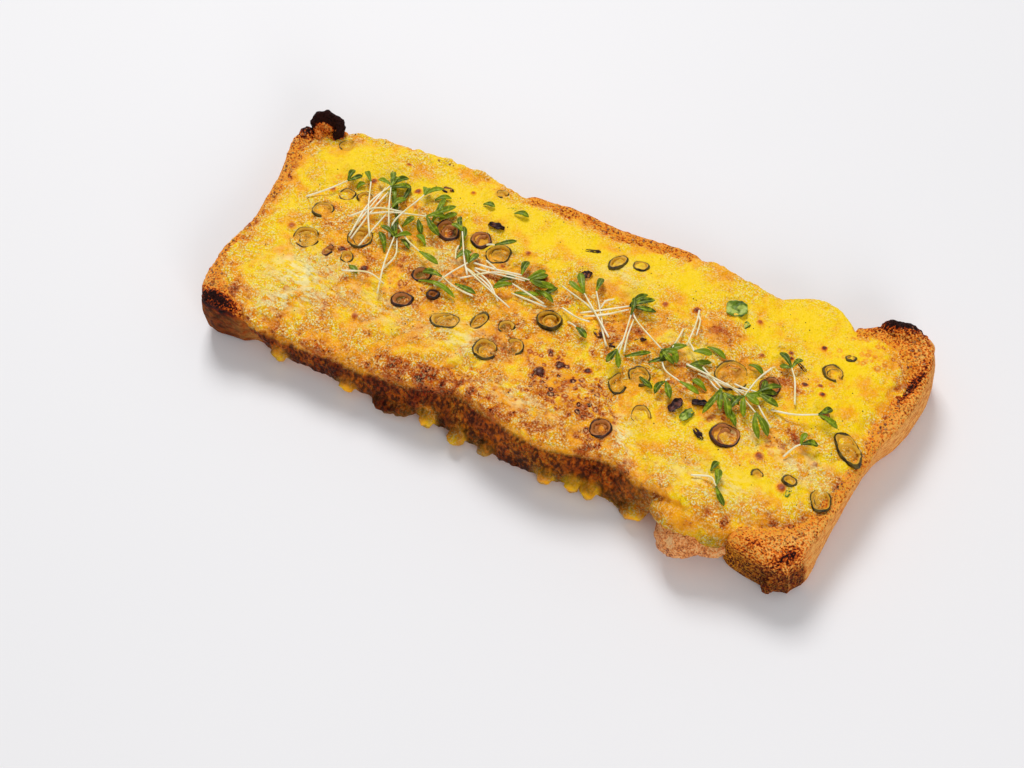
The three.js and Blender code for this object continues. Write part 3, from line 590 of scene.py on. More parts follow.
def cheese_places(s, t, ring):
    """The place of every point of the cheese."""
    bare, edge = cheese_hang(s, t)
    w = np.clip(ring / CHEESE_WALL, 0, 1)
    turn = np.clip(w / SHOULDER, 0, 1) * math.pi / 2
    inset = SHOULDER_IN * (1 - np.sin(turn)) + WALL_BULGE(w)
    x_hang, y_hang = place(s, t, WALL_SHARE(w), inset, cheese_bare)
    shoulder = surface(x_hang, y_hang) - SHOULDER_DOWN * (1 - np.cos(turn))
    z_hang = mix(shoulder, edge, np.clip((w - SHOULDER) / (1 - SHOULDER), 0, 1))
    x_thin, y_thin = place(s, t, 1.0, SHOULDER_IN * (1 - np.sin(w * math.pi / 2)), cheese_bare)
    z_thin = surface(x_thin, y_thin) - RIM_DROP - 0.6 * (1 - np.cos(w * math.pi / 2))
    spots = mix(np.array([x_hang, y_hang, z_hang]), np.array([x_thin, y_thin, z_thin]), bare)
    # The underside, as share of the height, inset and height for a hanging and for a thin edge:
    # a rounded lip, the inner face, and the flat that lies on the cut.
    under = [
        ((0.2, 0.5 * CHEESE_SIDE, edge - 0.15), (1.0, 1.2, -1.5)),
        ((0.2, CHEESE_SIDE, edge + 0.4), (1.0, 2.6, -2.4)),
        ((0.6, CHEESE_SIDE, CUT_FACE), (1.0, 4.0, None)),
        ((1.0, TUNA_MARGIN, CUT_FACE), (1.0, TUNA_MARGIN, None)),
    ]
    for step, (hanging, thin) in enumerate(under, CHEESE_WALL + 1):
        share, inset = (mix(hanging[i], thin[i], bare) for i in (0, 1))
        x_in, y_in = place(s, t, share, inset, covered_bare)
        low = CUT_FACE if thin[2] is None else surface(x_in, y_in) + thin[2]
        spots = np.where(ring == step, [x_in, y_in, mix(hanging[2], low, bare)], spots)
    # The ceiling over the tuna, as inset and depth.
    inner = TUNA_MARGIN + 1
    ceiling = [(TUNA_MARGIN, CHEESE_DEPTH + 1), (inner, CHEESE_DEPTH), (inner, CHEESE_DEPTH)]
    for step, (inset, down) in enumerate(ceiling, CHEESE_WALL + 5):
        x_in, y_in = place(s, t, 1.0, inset, covered_bare)
        spots = np.where(ring == step, [x_in, y_in, surface(x_in, y_in) - down], spots)
    # The top thins out towards a bare edge.
    x, y, z = spots
    top = surface(x, y) - RIM_DROP * near_bare_edge(x, y, 1, 6)
    return x, y, np.where(ring == 0, top, z)


print("Cheese")
shape = cheese_shape()
s, t, ring = shape_numbers(shape)
set_places(shape, *cheese_places(s, t, ring))
close_and_turn_out(shape)
cheese = to_piece(shape, "cheese_melted")

# %% [markdown]
# Melted cheese is lumpy where it lies thick on tuna, grainy and dry where it has toasted, and nearly
# flat and shiny where it has run together. The relief comes first, and its noise serves again for the
# colours, so that the high lumps are also the brown ones.

# %% Cheese: drapes, drips and relief
points, normals = read_points(cheese)
outside = read_number(cheese, "ring") <= CHEESE_WALL
for at, reach in DRAPES:
    points = swell(points, normals, at, reach, outside)
for middle, height, reach in DRIPS:
    wall = side_line("near", middle, 0.2, 0, cheese_bare)
    points = swell(points, normals, (middle, wall + CHEESE_SIDE - 0.4 - reach[1], height), reach, outside)
write_points(cheese, points)

points, normals = read_points(cheese)
x, y, z = points.T
toasted = strength(x, y, TOASTED)
smooth = strength(x, y, SMOOTH) * (1 - 0.8 * toasted)
pale = strength(x, y, PALE)
below = surface(x, y) - z
side_wall = ramp(1.5, 4.5, below) * outside
rim_line = ramp(0.3, 1.2, below) * (1 - ramp(2.4, 4.2, below)) * outside * ramp(0, -30, y)
# Noise of four sizes, from broad lumps down to single crumbs, and strands where the cheese has run.
lumps = clouds(points, 10.0)
knobs = 2.6 * np.abs(clouds(points, 5.2, 7.0)) - 0.55
grains = clouds(points, 2.4, 3.0)
specks = clouds(points, 1.3, 9.0)
strands = 1 - 2.2 * np.abs(clouds(points * [1, 1.6, 1], 7.0, 5.0))
rough = 1 - 0.85 * smooth
relief = rough * (0.8 * lumps + 0.6 * knobs + 0.5 * grains + 0.3 * specks) + 0.35 * smooth * lumps
relief += 0.35 * pale * strands + toasted * (0.3 * grains + 0.35 * specks)
relief = relief * (1 - 0.8 * side_wall) + side_wall * (0.25 * knobs + 0.5 * grains + 0.35 * specks)
fading = near_bare_edge(x, y, 0, 5)
relief *= 1 - 0.5 * fading

burnt, blister_cap = np.zeros(len(x)), np.zeros(len(x))
for blister_x, blister_y, radius, char in BLISTERS:
    away = np.hypot(x - blister_x, y - blister_y) / radius
    relief += 0.75 * np.exp(-(away * 1.2) ** 2) - 0.25 * np.exp(-((away - 1.5) / 0.4) ** 2)
    burnt = np.maximum(burnt, char * np.exp(-(away * 1.15) ** 4))
    # The middle of each blister's cap gets a painted highlight.
    blister_cap = np.maximum(blister_cap, char * np.exp(-(away * 4) ** 2))

in_ring = np.zeros(len(x))
for onion in RINGS + FAINT_RINGS:
    away = ring_distance(x, y, onion)
    relief = mix(relief, 0.35 * relief - 0.15, 1 - ramp(0.85, 1.1, away))
    relief += 0.3 * np.exp(-((away - 1.06) * onion[2] / 0.7) ** 2)
    in_ring = np.maximum(in_ring, 1 - ramp(0.8, 1.15, away))
    burnt = np.maximum(burnt, 0.45 * (onion[6] - 0.3) * (1 - ramp(0.6, 1.25, away)) * (1 + 2 * knobs))

points = points + normals * (relief * outside)[:, None]
points[:, 2] = np.maximum(points[:, 2], LOWEST_CHEESE)
write_points(cheese, points)
print("cheese relief in mm:", round(float(relief.min()), 2), "to", round(float(relief.max()), 2))

# %% [markdown]
# Now the colours: how far each point is browned, and where it is smooth, bubbly, or on the side, which is
# soaked with fat and is also given painted shade.

# %% Cheese: numbers for the colours
LUMP_SPOT = ((71, -50), (15, 12), 0)
on_lump = bell(x, y, LUMP_SPOT)
dripped = np.zeros(len(x))
for middle, height, reach in DRIPS:
    away = ((x - middle) / reach[0]) ** 2 + ((z - height + 0.4 * reach[2]) / reach[2]) ** 2
    dripped = np.maximum(dripped, np.minimum(1, 1.6 * np.exp(-away)))
dripped = np.clip(dripped * (0.75 + 1.2 * clouds(points, 9.0, 4.0)), 0, 1)
dripped = np.maximum(dripped, 0.6 * ramp(3.4, 1.4, z + 1.2 * clouds(points, 7.0)))
# The side's browning and painted shade are kept off the lump of tuna and mostly off the far side.
side_wall = side_wall * (1 - 0.93 * on_lump) * (1 - 0.75 * ramp(0, 30, y))

browning = 0.345 + 0.38 * toasted - 0.24 * smooth - 0.14 * pale + 0.16 * fading
browning += rough * (0.2 * lumps - 0.06 * knobs - 0.1 * grains) - 0.2 * toasted * grains - 0.04 * on_lump
side_heat = 0.36 + 0.12 * lumps + 0.16 * toasted * ramp(6, 13, z) + 0.16 * ramp(-10, -50, x)
browning = mix(browning, side_heat, side_wall)
browning = mix(browning, 0.46 + 0.1 * lumps + 0.3 * toasted, 0.8 * rim_line)
browning = mix(browning, 0.42, dripped * side_wall) + 0.12 * in_ring
side_wall = side_wall * (1 - 0.95 * dripped)
write_numbers(cheese, browning=browning, burnt=burnt, blister_cap=blister_cap, in_ring=in_ring,
              side=side_wall, pale=pale * (0.8 + 0.5 * strands),
              smooth=mix(np.maximum(smooth, 0.6 * rim_line), 0.9, dripped),
              bubbly=strength(x, y, BUBBLY) * (1 - side_wall) * (1 - in_ring))
print("cheese browning, mean:", round(float(browning.mean()), 2))

# %% [markdown]
# What lies on top is laid on the finished relief, so we keep a search tree of the cheese.

# %% Finding the top
def search_tree(piece):
    faces = [face.vertices[:] for face in piece.data.polygons]
    return BVHTree.FromPolygons(read_points(piece)[0].tolist(), faces)


cheese_tree = search_tree(cheese)


def height_on(tree, x, y):
    """The height of the topmost skin at a place."""
    hit = tree.ray_cast(Vector((x, y, 60)), Vector((0, 0, -1)))[0]
    return hit.z if hit else float(surface(x, y))


print("height in the middle in mm:", round(height_on(cheese_tree, 0, 0), 2))

# %% [markdown]
# Colours are written as they look on a screen, and turned into the linear values that a shader needs.
# Small helpers keep the node code short: one adds a node and fills its sockets by name.

# %% Paint and node helpers
def paint(code):
    """A screen colour, such as f4c430, as linear red, green, blue and alpha."""
    channels = [int(code[i:i + 2], 16) / 255 for i in (0, 2, 4)]
    linear = [c / 12.92 if c <= 0.04045 else ((c + 0.055) / 1.055) ** 2.4 for c in channels]
    return (*linear, 1.0)


def fill(tree, socket, value):
    """Links a socket to another, or sets it to a number, to numbers or to a screen colour."""
    if isinstance(value, bpy.types.NodeSocket):
        tree.links.new(value, socket)
    else:
        socket.default_value = paint(value) if isinstance(value, str) else value


def fill_sockets(tree, node, **values):
    """Fills sockets by name. One that is called Noise Scale is filled as Noise_Scale=."""
    for name, value in values.items():
        fill(tree, node.inputs[name.replace("_", " ")], value)


def add_node(tree, kind, settings=None, **inputs):
    """Adds a node of a kind, with its settings and with what goes into its sockets."""
    made = tree.nodes.new("ShaderNode" + kind)
    for name, value in (settings or {}).items():
        setattr(made, name, value)
    fill_sockets(tree, made, **inputs)
    return made


def calculate(tree, operation, *values, kind="Math"):
    """The result of one step of arithmetic on numbers or sockets."""
    made = add_node(tree, kind, {"operation": operation})
    for socket, value in zip(made.inputs, values):
        fill(tree, socket, value)
    return made.outputs[0]


def times(tree, a, b):
    return calculate(tree, "MULTIPLY", a, b)


def times_plus(tree, a, b, c):
    """a times b, plus c."""
    return calculate(tree, "MULTIPLY_ADD", a, b, c)


def inverse(tree, value):
    return calculate(tree, "SUBTRACT", 1.0, value)


def swing(tree, noise_value, size, value):
    """Lets a value swing up and down with noise that goes from 0 to 1."""
    return times_plus(tree, calculate(tree, "SUBTRACT", noise_value, 0.5), size, value)


def blend_colours(tree, share, first, second, how="MIX"):
    made = add_node(tree, "MixRGB", {"blend_type": how}, Fac=share, Color1=first, Color2=second)
    return made.outputs["Color"]


def step_up(tree, value, start, end):
    """A smooth step from 0 at start to 1 at end."""
    settings = {"interpolation_type": "SMOOTHSTEP"}
    made = add_node(tree, "MapRange", settings, Value=value, From_Min=start, From_Max=end)
    return made.outputs["Result"]


def noise_at(tree, where, scale, detail=2.0):
    return add_node(tree, "TexNoise", Vector=where, Scale=scale, Detail=detail).outputs["Fac"]


def scaled(tree, where, scale):
    """Coordinates with another scale along each axis, which draws noise out into streaks."""
    return add_node(tree, "Mapping", Vector=where, Scale=scale).outputs["Vector"]


def axes(tree, vector):
    return add_node(tree, "SeparateXYZ", Vector=vector).outputs


def attribute(tree, name):
    """A number that the points of the piece carry."""
    return add_node(tree, "Attribute", {"attribute_name": name}).outputs["Fac"]


def new_material(name):
    """A material with an empty tree, its Principled BSDF and the object coordinates."""
    material = bpy.data.materials.new(name)
    material.use_nodes = True
    tree = material.node_tree
    where = tree.nodes.new("ShaderNodeTexCoord").outputs["Object"]
    return material, tree, tree.nodes["Principled BSDF"], where


def bump(tree, shader, height, distance, strength_value=1.0):
    made = add_node(tree, "Bump", Height=height, Distance=distance, Strength=strength_value)
    tree.links.new(made.outputs["Normal"], shader.inputs["Normal"])


# %% [markdown]
# Effects that several materials share are node groups: baking, which turns one number into four stages
# of colour; pores, which are small dark holes; bubbles, with a pale cap and a dark rim; and grain.

# %% Shared node groups
# Each stage of baking, and the heat from which and at which it has taken over from the one before.
BAKING_STAGES = {"Golden": (0.15, 0.5), "Brown": (0.45, 0.8), "Char": (0.78, 1.05)}
PORE_WOBBLE = 0.0012
BUBBLE_CHANCE = 0.35


def new_group(name, inputs, outputs):
    """A node group. Each input is a number, a screen colour or None for a vector."""
    group = bpy.data.node_groups.new(name, "ShaderNodeTree")
    for socket, value in inputs.items():
        kind = {float: "NodeSocketFloat", str: "NodeSocketColor"}.get(type(value), "NodeSocketVector")
        made = group.interface.new_socket(name=socket, in_out="INPUT", socket_type=kind)
        if value is not None:
            made.default_value = paint(value) if isinstance(value, str) else value
    for socket, kind in outputs.items():
        group.interface.new_socket(name=socket, in_out="OUTPUT", socket_type=kind)
    return group, group.nodes.new("NodeGroupInput").outputs, group.nodes.new("NodeGroupOutput")


def use_group(tree, group, **inputs):
    made = tree.nodes.new("ShaderNodeGroup")
    made.node_tree = group
    fill_sockets(tree, made, **inputs)
    return made.outputs


def make_baking_group():
    inputs = {"Heat": 0.3, "Raw": "ffffff"}
    inputs.update({name: "ffffff" for name in BAKING_STAGES})
    group, given, result = new_group("baking", inputs, {"Color": "NodeSocketColor"})
    colour = given["Raw"]
    for name, (start, end) in BAKING_STAGES.items():
        colour = blend_colours(group, step_up(group, given["Heat"], start, end), colour, given[name])
    fill_sockets(group, result, Color=colour)
    return group


def bake(tree, heat, raw, golden, brown, char):
    """The colour at each heat, from the screen colours of the four stages."""
    return use_group(tree, baking, Heat=heat, Raw=raw, Golden=golden, Brown=brown, Char=char)["Color"]


def make_pores_group():
    """Small holes whose size varies. Mask is 1 inside them."""
    inputs = {"Vector": None, "Scale": 800.0, "Width": 0.35}
    group, given, result = new_group("pores", inputs, {"Mask": "NodeSocketFloat"})
    wobble = add_node(group, "TexNoise", Vector=given["Vector"], Scale=500.0, Detail=1.0).outputs["Color"]
    where = calculate(group, "MULTIPLY_ADD", wobble, (PORE_WOBBLE,) * 3, given["Vector"], kind="VectorMath")
    cells = add_node(group, "TexVoronoi", Vector=where, Scale=given["Scale"])
    size = times(group, given["Width"], noise_at(group, given["Vector"], 330.0))
    size = calculate(group, "MAXIMUM", size, 0.01)
    away = calculate(group, "DIVIDE", cells.outputs["Distance"], size)
    fill_sockets(group, result, Mask=inverse(group, step_up(group, away, 0.6, 1.3)))
    return group


def make_bubbles_group():
    """Scattered round bubbles. Cap is their top, and Rim is the dark line round them."""
    inputs = {"Vector": None, "Scale": 300.0}
    outputs = {"Cap": "NodeSocketFloat", "Rim": "NodeSocketFloat"}
    group, given, result = new_group("bubbles", inputs, outputs)
    cells = add_node(group, "TexVoronoi", Vector=given["Vector"], Scale=given["Scale"])
    chance, darkness, _ = axes(group, cells.outputs["Color"])
    chosen = calculate(group, "GREATER_THAN", chance, BUBBLE_CHANCE)
    away = calculate(group, "DIVIDE", cells.outputs["Distance"], times_plus(group, chance, 0.3, 0.15))
    cap = inverse(group, step_up(group, away, 0.2, 0.8))
    line = calculate(group, "SUBTRACT", step_up(group, away, 0.3, 0.9), step_up(group, away, 0.9, 1.9))
    rim = times(group, line, times(group, darkness, chosen))
    fill_sockets(group, result, Cap=times(group, cap, chosen), Rim=rim)
    return group


def make_grain_group():
    """Fine noise as Value, and coarse noise as Blotch."""
    inputs = {"Vector": None, "Fine": 1000.0, "Coarse": 300.0}
    outputs = {"Value": "NodeSocketFloat", "Blotch": "NodeSocketFloat"}
    group, given, result = new_group("grain", inputs, outputs)
    fine = noise_at(group, given["Vector"], given["Fine"], 4.0)
    coarse = noise_at(group, given["Vector"], given["Coarse"], 3.0)
    fill_sockets(group, result, Value=fine, Blotch=coarse)
    return group


baking = make_baking_group()
pores = make_pores_group()
bubbles = make_bubbles_group()
grain = make_grain_group()
print("node groups:", [group.name for group in bpy.data.node_groups])

# %% [markdown]
# Cheese is yellow through and through, and lets some light in. Heat turns it golden, then brown, then
# nearly black. The runny parts are smooth and shiny, and the toasted ones dry and pitted.

# %% Cheese material
def make_cheese_material():
    material, tree, shader, where = new_material("melted_cheese")
    smooth, side, bubbly, browning, burnt, blister_cap = (
        attribute(tree, name) for name in ("smooth", "side", "bubbly", "browning", "burnt", "blister_cap"))
    # Grain comes in patches, and between them the cheese has run together.
    patch = step_up(tree, noise_at(tree, where, 125.0, 3.0), 0.42, 0.56)
    patch = calculate(tree, "MAXIMUM", patch, step_up(tree, browning, 0.5, 0.65))
    crumbly = times(tree, inverse(tree, smooth), times_plus(tree, patch, 0.75, 0.25))
    crumbly = times(tree, crumbly, times_plus(tree, bubbly, -0.4, 1.0))
    # The heat of a place is its browning, made uneven by noise of three sizes, pores and bubbles.
    fine = use_group(tree, grain, Vector=where, Fine=900.0, Coarse=260.0)
    patchy = times(tree, times_plus(tree, crumbly, 0.9, 0.35), times_plus(tree, side, -0.55, 1.0))
    heat = swing(tree, fine["Blotch"], patchy, browning)
    heat = swing(tree, noise_at(tree, where, 100.0), 0.75, heat)
    heat = swing(tree, fine["Value"], times_plus(tree, crumbly, 0.8, 0.1), heat)
    holes = use_group(tree, pores, Vector=where, Scale=800.0, Width=0.5)["Mask"]
    hot = step_up(tree, heat, 0.5, 0.8)
    open_pores = times(tree, holes, times_plus(tree, hot, 0.8, 0.2))
    heat = times_plus(tree, open_pores, 0.25, heat)
    bubble = use_group(tree, bubbles, Vector=where, Scale=430.0)
    heat = times_plus(tree, times(tree, bubble["Rim"], bubbly), 0.9, heat)
    heat = times_plus(tree, burnt, 0.85, heat)
    colour = bake(tree, heat, "ffd604", "fca812", "c05812", "48140e")
    # Dry cheese has pale crystals, and the same pale specks are painted glints, between small hollows whose
    # orange is painted shade.
    share = times(tree, crumbly, step_up(tree, noise_at(tree, where, 1500.0, 3.0), 0.5, 0.58))
    share = times(tree, share, times_plus(tree, hot, -0.45, 0.9))
    share = times(tree, share, inverse(tree, burnt))
    crystal_and_glint = blend_colours(tree, step_up(tree, heat, 0.35, 0.75), "fff8b8", "ffd090")
    colour = blend_colours(tree, share, colour, crystal_and_glint)
    # Painted shade: the low points of the grain are darkened towards orange.
    hollow_shade = times(tree, crumbly, step_up(tree, fine["Value"], 0.5, 0.36))
    hollow_shade_colour = blend_colours(tree, step_up(tree, heat, 0.3, 0.7), "ffbc50", "d0782c")
    colour = blend_colours(tree, hollow_shade, colour, hollow_shade_colour, "MULTIPLY")
    # Bubbles and blisters get a pale painted highlight on top.
    cap = times(tree, bubble["Cap"], bubbly)
    colour = blend_colours(tree, times(tree, cap, 0.7), colour, "f0c8a4")
    cap = calculate(tree, "MAXIMUM", cap, blister_cap)
    colour = blend_colours(tree, times(tree, blister_cap, 0.6), colour, "c8a098")
    # Pale streaks, and a touch of olive from the juice inside the onion rings.
    streaks = noise_at(tree, scaled(tree, where, (0.6, 1.4, 1.0)), 380.0, 6.0)
    cream = times(tree, attribute(tree, "pale"), step_up(tree, streaks, 0.44, 0.58))
    colour = blend_colours(tree, times(tree, cream, 0.95), colour, "fff2b4")
    olive = times(tree, attribute(tree, "in_ring"), step_up(tree, fine["Blotch"], 0.35, 0.65))
    colour = blend_colours(tree, times(tree, olive, 0.4), colour, "b89a2c")
    # Down the side the cheese is thin and soaked with fat, so it is a darker amber, and it is darkened
    # further as painted shade, since the side faces away from the main light.
    runs = noise_at(tree, scaled(tree, where, (1.0, 1.0, 0.5)), 850.0, 4.0)
    amber = blend_colours(tree, step_up(tree, runs, 0.38, 0.62), "5a3814", "c08a40")
    stains = step_up(tree, noise_at(tree, where, 210.0, 3.0), 0.62, 0.42)
    amber = blend_colours(tree, times(tree, stains, 0.7), amber, "9c7840", "MULTIPLY")
    # Painted shade: the side grows darker towards the floor.
    depth = step_up(tree, axes(tree, where)["Z"], 0.013, 0.001)
    amber = blend_colours(tree, depth, amber, "947038", "MULTIPLY")
    colour = blend_colours(tree, side, colour, amber, "MULTIPLY")
    roughness = times_plus(tree, fine["Blotch"], -0.3, 0.55)
    fill_sockets(tree, shader, Base_Color=colour, Roughness=roughness, Specular_IOR_Level=0.1)
    height = times(tree, fine["Value"], times_plus(tree, crumbly, 0.8, 0.2))
    height = times_plus(tree, cap, 0.3, height)
    height = times_plus(tree, open_pores, -0.3, height)
    bump(tree, shader, height, 0.0017)
    return material


finish_piece(cheese, "cheese", make_cheese_material(), "melted_cheese")

# %% [markdown]
# The bread shows as toasted crumb along the rims and at the corners, and as smooth crust on the ends
# and the far side. Its grid is finer near the rim, because the middle lies hidden below the cheese.

# %% Bread: the half loaf
BREAD_CELLS = (264, 108)
BREAD_WALL = 30
# Burnt crags at the corners: middle and reach.
CRAGS = [
    ((-113.4, -38.4, 18), (7.6, 3.2, 4.9)), ((-123.6, 45.4, 16.8), (3.6, 3.4, 4.4)),
    ((113.6, 52.4, 18.8), (8, 3.6, 4.6)), ((121, 50.4, 16.2), (5.2, 4.8, 4.2)),
    ((104.4, -53.8, 5.6), (2.8, 3.6, 5)),
]
BREAD_SHARE = curve((0, 1), (0.12, 0.95), (0.5, 0.6), (0.8, 0.25), (0.93, 0.05), (1, 0))
BREAD_INSET = curve((0, 1.6), (0.12, 0), (0.5, -0.6), (0.8, 0), (0.93, 1), (1, 3))
BREAD_HEIGHT = curve((0, 1), (0.12, 0.93), (0.5, 0.6), (0.8, 0.25), (0.93, 0.05), (1, 0))


def crowd(u):
    """Moves grid lines towards both ends of the range from 0 to 1."""
    return u - 0.62 * np.sin(2 * math.pi * u) / (2 * math.pi)


def bread_top(x, y):
    """The height of the bread: crumb at the rim, and the cut face below the cheese."""
    return mix(surface(x, y) - RIM_DROP, CUT_FACE - 0.2, 1 - near_bare_edge(x, y, 2, 6))


def bread_places(s, t, ring):
    """The place of every point of the bread."""
    s, t = crowd(s), crowd(t)
    w = np.clip(ring / BREAD_WALL, 0, 1)
    x, y = place(s, t, BREAD_SHARE(w), BREAD_INSET(w))
    # Where the cheese runs over the side, the wall stands back by its thickness.
    for side, share in (("near", 1 - t), ("far", t)):
        hidden = (CHEESE_SIDE + 0.1) * (1 - how_bare(side, x))
        y = y + INWARD[side] * hidden * ramp(0.8, 1, share)
    return x, y, bread_top(x, y) * BREAD_HEIGHT(w)


print("Bread")
shape = new_shape(*GRID_LAYERS)
add_grid(shape, BREAD_CELLS, 0)
rim = extrude_rings(shape, open_rim(shape), range(1, BREAD_WALL + 1))
bmesh.ops.holes_fill(shape, edges=rim, sides=0)
s, t, ring = shape_numbers(shape)
set_places(shape, *bread_places(s, t, ring))
close_and_turn_out(shape)
bread = to_piece(shape, "bread_half_loaf")

# %% [markdown]
# The crumb is rough and the crust nearly smooth. The crags and the outermost edges are burnt, and the
# crumb next to the cheese has soaked up yellow fat.

# %% Bread: crags, pores and masks
CHARRED = [
    ((-114, -39.4), (8.5, 2.6), -3, 1.0), ((-124, 46), (4, 3), 0, 0.75), ((113, 53.6), (8, 2.6), 12, 1.0),
    ((123.4, 32), (1.8, 8), -12, 0.75), ((107.2, -50), (2, 5), -40, 0.7), ((97, -50), (5, 2), 10, 0.3),
]
BAKED_CRUST = [((-114, -41), (20, 12), 0, 1.0), ((-124, 0), (7, 44), 0, 0.5)]
points, normals = read_points(bread)
for at, reach in CRAGS:
    points = swell(points, normals, at, reach)
write_points(bread, points)
points, normals = read_points(bread)
ring = read_number(bread, "ring")
x, y, z = points.T
w = ring / BREAD_WALL
# At the near right corner the side is torn crumb instead of crust.
near_right = ramp(81, 86, x) * ramp(-32, -40, y) * ramp(-0.1, -0.45, normals[:, 1])
crust = ramp(0.1, 0.2, w) * (1 - near_right)
knobs = clouds(points, 4.0, 2.0)
grains = clouds(points, 1.9, 6.0)
specks = clouds(points, 1.1, 8.0)
relief = (1 - crust) * (0.3 * knobs + 0.34 * grains + 0.3 * specks)
relief += crust * (0.28 * clouds(points, 9.0, 1.0) + 0.12 * knobs + 0.08 * grains)
# The burnt places reach further down at the right end.
char_from = np.where(x > 90, 9, 14)
charred = strength(x, y, CHARRED) * ramp(0, 4, z + 2.5 * knobs - char_from)
relief += charred * (0.5 * knobs + 0.4 * grains)
above_floor = ramp(0.5, 2, z)
points = points + normals * (relief * above_floor)[:, None]
write_points(bread, points)
well_baked = strength(x, y, BAKED_CRUST)
crumb_heat = 0.25 + 0.14 * knobs + 0.14 * specks + 0.14 * ramp(30, 44, y)
# Towards the bottom, the torn crumb of the near right corner is made browner, and the baked number below
# makes it darker still.
crumb_heat += 0.34 * ramp(0.02, 0.3, w) * near_right
crust_heat = 0.16 + 0.16 * knobs + 0.14 * grains + 0.12 * ramp(6, 0, z) + 0.1 * well_baked
gap = np.min([gap for gap, bareness in cheese_gaps(x, y).values()], axis=0)
soaked = np.exp(-np.abs(gap) / (4.5 + 3 * near_right)) * (1 - crust) * (1 - np.minimum(1, 3 * charred))
write_numbers(bread, browning=mix(crumb_heat, crust_heat, crust), burnt=charred, crust=crust, oily=soaked,
              baked=well_baked * crust + 0.9 * near_right * ramp(0.15, 0.5, w))
print("bread relief in mm:", round(float(relief.min()), 2), "to", round(float(relief.max()), 2))

# %% [markdown]
# One material serves crumb and crust. Crumb is full of pores and swings widely between pale and brown,
# and crust is even, with fine fibres.

# %% Bread material
def make_bread_material():
    material, tree, shader, where = new_material("toasted_bread")
    crust, burnt, oily = (attribute(tree, name) for name in ("crust", "burnt", "oily"))
    crumb = inverse(tree, crust)
    fine = use_group(tree, grain, Vector=where, Fine=1250.0, Coarse=380.0)
    # On the crumb, and more weakly on the crust, the grain swings the other way round from toast: its high
    # points are made paler and its low points browner, painted light on the peaks and painted shade in the
    # pits.
    heat = swing(tree, fine["Value"], times_plus(tree, crust, 1.8, -2.5), attribute(tree, "browning"))
    holes = use_group(tree, pores, Vector=where, Scale=1100.0, Width=0.62)["Mask"]
    open_crumb = times(tree, times(tree, holes, crumb), times_plus(tree, oily, -0.6, 1.0))
    heat = times_plus(tree, open_crumb, 0.1, heat)
    heat = times_plus(tree, burnt, 1.2, heat)
    # Only what is marked as burnt may turn to char.
    heat = calculate(tree, "MINIMUM", heat, times_plus(tree, burnt, 2.0, 0.84))
    colour = bake(tree, heat, "ffb860", "ff8822", "b0400e", "2c0e0a")
    colour = blend_colours(tree, times(tree, open_crumb, 0.85), colour, "b05020", "MULTIPLY")
    lit = times(tree, step_up(tree, fine["Value"], 0.52, 0.6), crumb)
    lit = times(tree, lit, step_up(tree, burnt, 0.4, 0.05))
    colour = blend_colours(tree, times(tree, lit, 0.55), colour, "ffc866")
    # The crust has fine fibres that run along it, and it is browner where it was close to the oven wall.
    fibres = noise_at(tree, scaled(tree, where, (0.5, 0.5, 1.3)), 700.0, 6.0)
    fibres = blend_colours(tree, step_up(tree, fibres, 0.3, 0.62), "d8ac88", "ffffff")
    colour = blend_colours(tree, crust, colour, fibres, "MULTIPLY")
    browned = blend_colours(tree, step_up(tree, fine["Blotch"], 0.35, 0.65), "4c3820", "8c6844")
    colour = blend_colours(tree, attribute(tree, "baked"), colour, browned, "MULTIPLY")
    fat = times(tree, oily, step_up(tree, fine["Value"], 0.4, 0.55))
    fat = times(tree, times(tree, fat, inverse(tree, holes)), 0.9)
    colour = blend_colours(tree, fat, colour, "fca418")
    fill_sockets(tree, shader, Base_Color=colour, Roughness=0.75, Specular_IOR_Level=0.12)
    bump(tree, shader, times_plus(tree, open_crumb, -0.9, fine["Value"]), 0.001)
    return material


bread_tree = search_tree(bread)
bread_look = make_bread_material()
finish_piece(bread, "bread", bread_look, "bread")

# %% [markdown]
# The burnt curl of crust and the stems of the cress are tubes: a small circle that is extruded step by
# step along a smooth path.

# %% Tubes along a path
BALL_DETAIL = 4


def path_through(points, steps):
    """A smooth path through a few points, as a list of vectors."""
    places = np.linspace(0, 1, len(points))
    at = np.linspace(0, 1, steps + 1)
    lines = [curve(*zip(places, values))(at) for values in zip(*points)]
    return [Vector(point) for point in np.stack(lines, axis=1).tolist()]


def add_tube(shape, path, radii, sides, flat=1.0):
    """Extrudes a circle along a path. Its height is flat times its width."""
    ahead = path[1:] + path[-1:]
    behind = path[:1] + path[:-1]
    rim = bmesh.ops.create_circle(shape, segments=sides, radius=1)["verts"]
    loop = list({edge for point in rim for edge in point.link_edges})
    circle = {point: point.co.copy() for point in rim}
    ends = list(loop)
    for step, centre in enumerate(path):
        turn = (ahead[step] - behind[step]).to_track_quat("Z", "Y").to_matrix().to_4x4()
        size = Matrix.Diagonal((radii[step], radii[step] * flat, 1, 1))
        placing = Matrix.Translation(centre) @ turn @ size
        if step:
            old = {point: spot for edge in loop for point, spot in circle.items() if point in edge.verts}
            grown = bmesh.ops.extrude_edge_only(shape, edges=loop)["geom"]
            loop = [part for part in grown if isinstance(part, bmesh.types.BMEdge) and part.is_boundary]
            circle = match_circle(old, loop)
        for point, spot in circle.items():
            point.co = placing @ spot
    bmesh.ops.holes_fill(shape, edges=ends + loop, sides=0)


def add_ball(shape, at, reach):
    """Adds an ellipsoid, made by stretching a ball."""
    stretch = Matrix.Translation(at) @ Matrix.Diagonal((*reach, 1))
    bmesh.ops.create_icosphere(shape, subdivisions=BALL_DETAIL, radius=1, matrix=stretch)


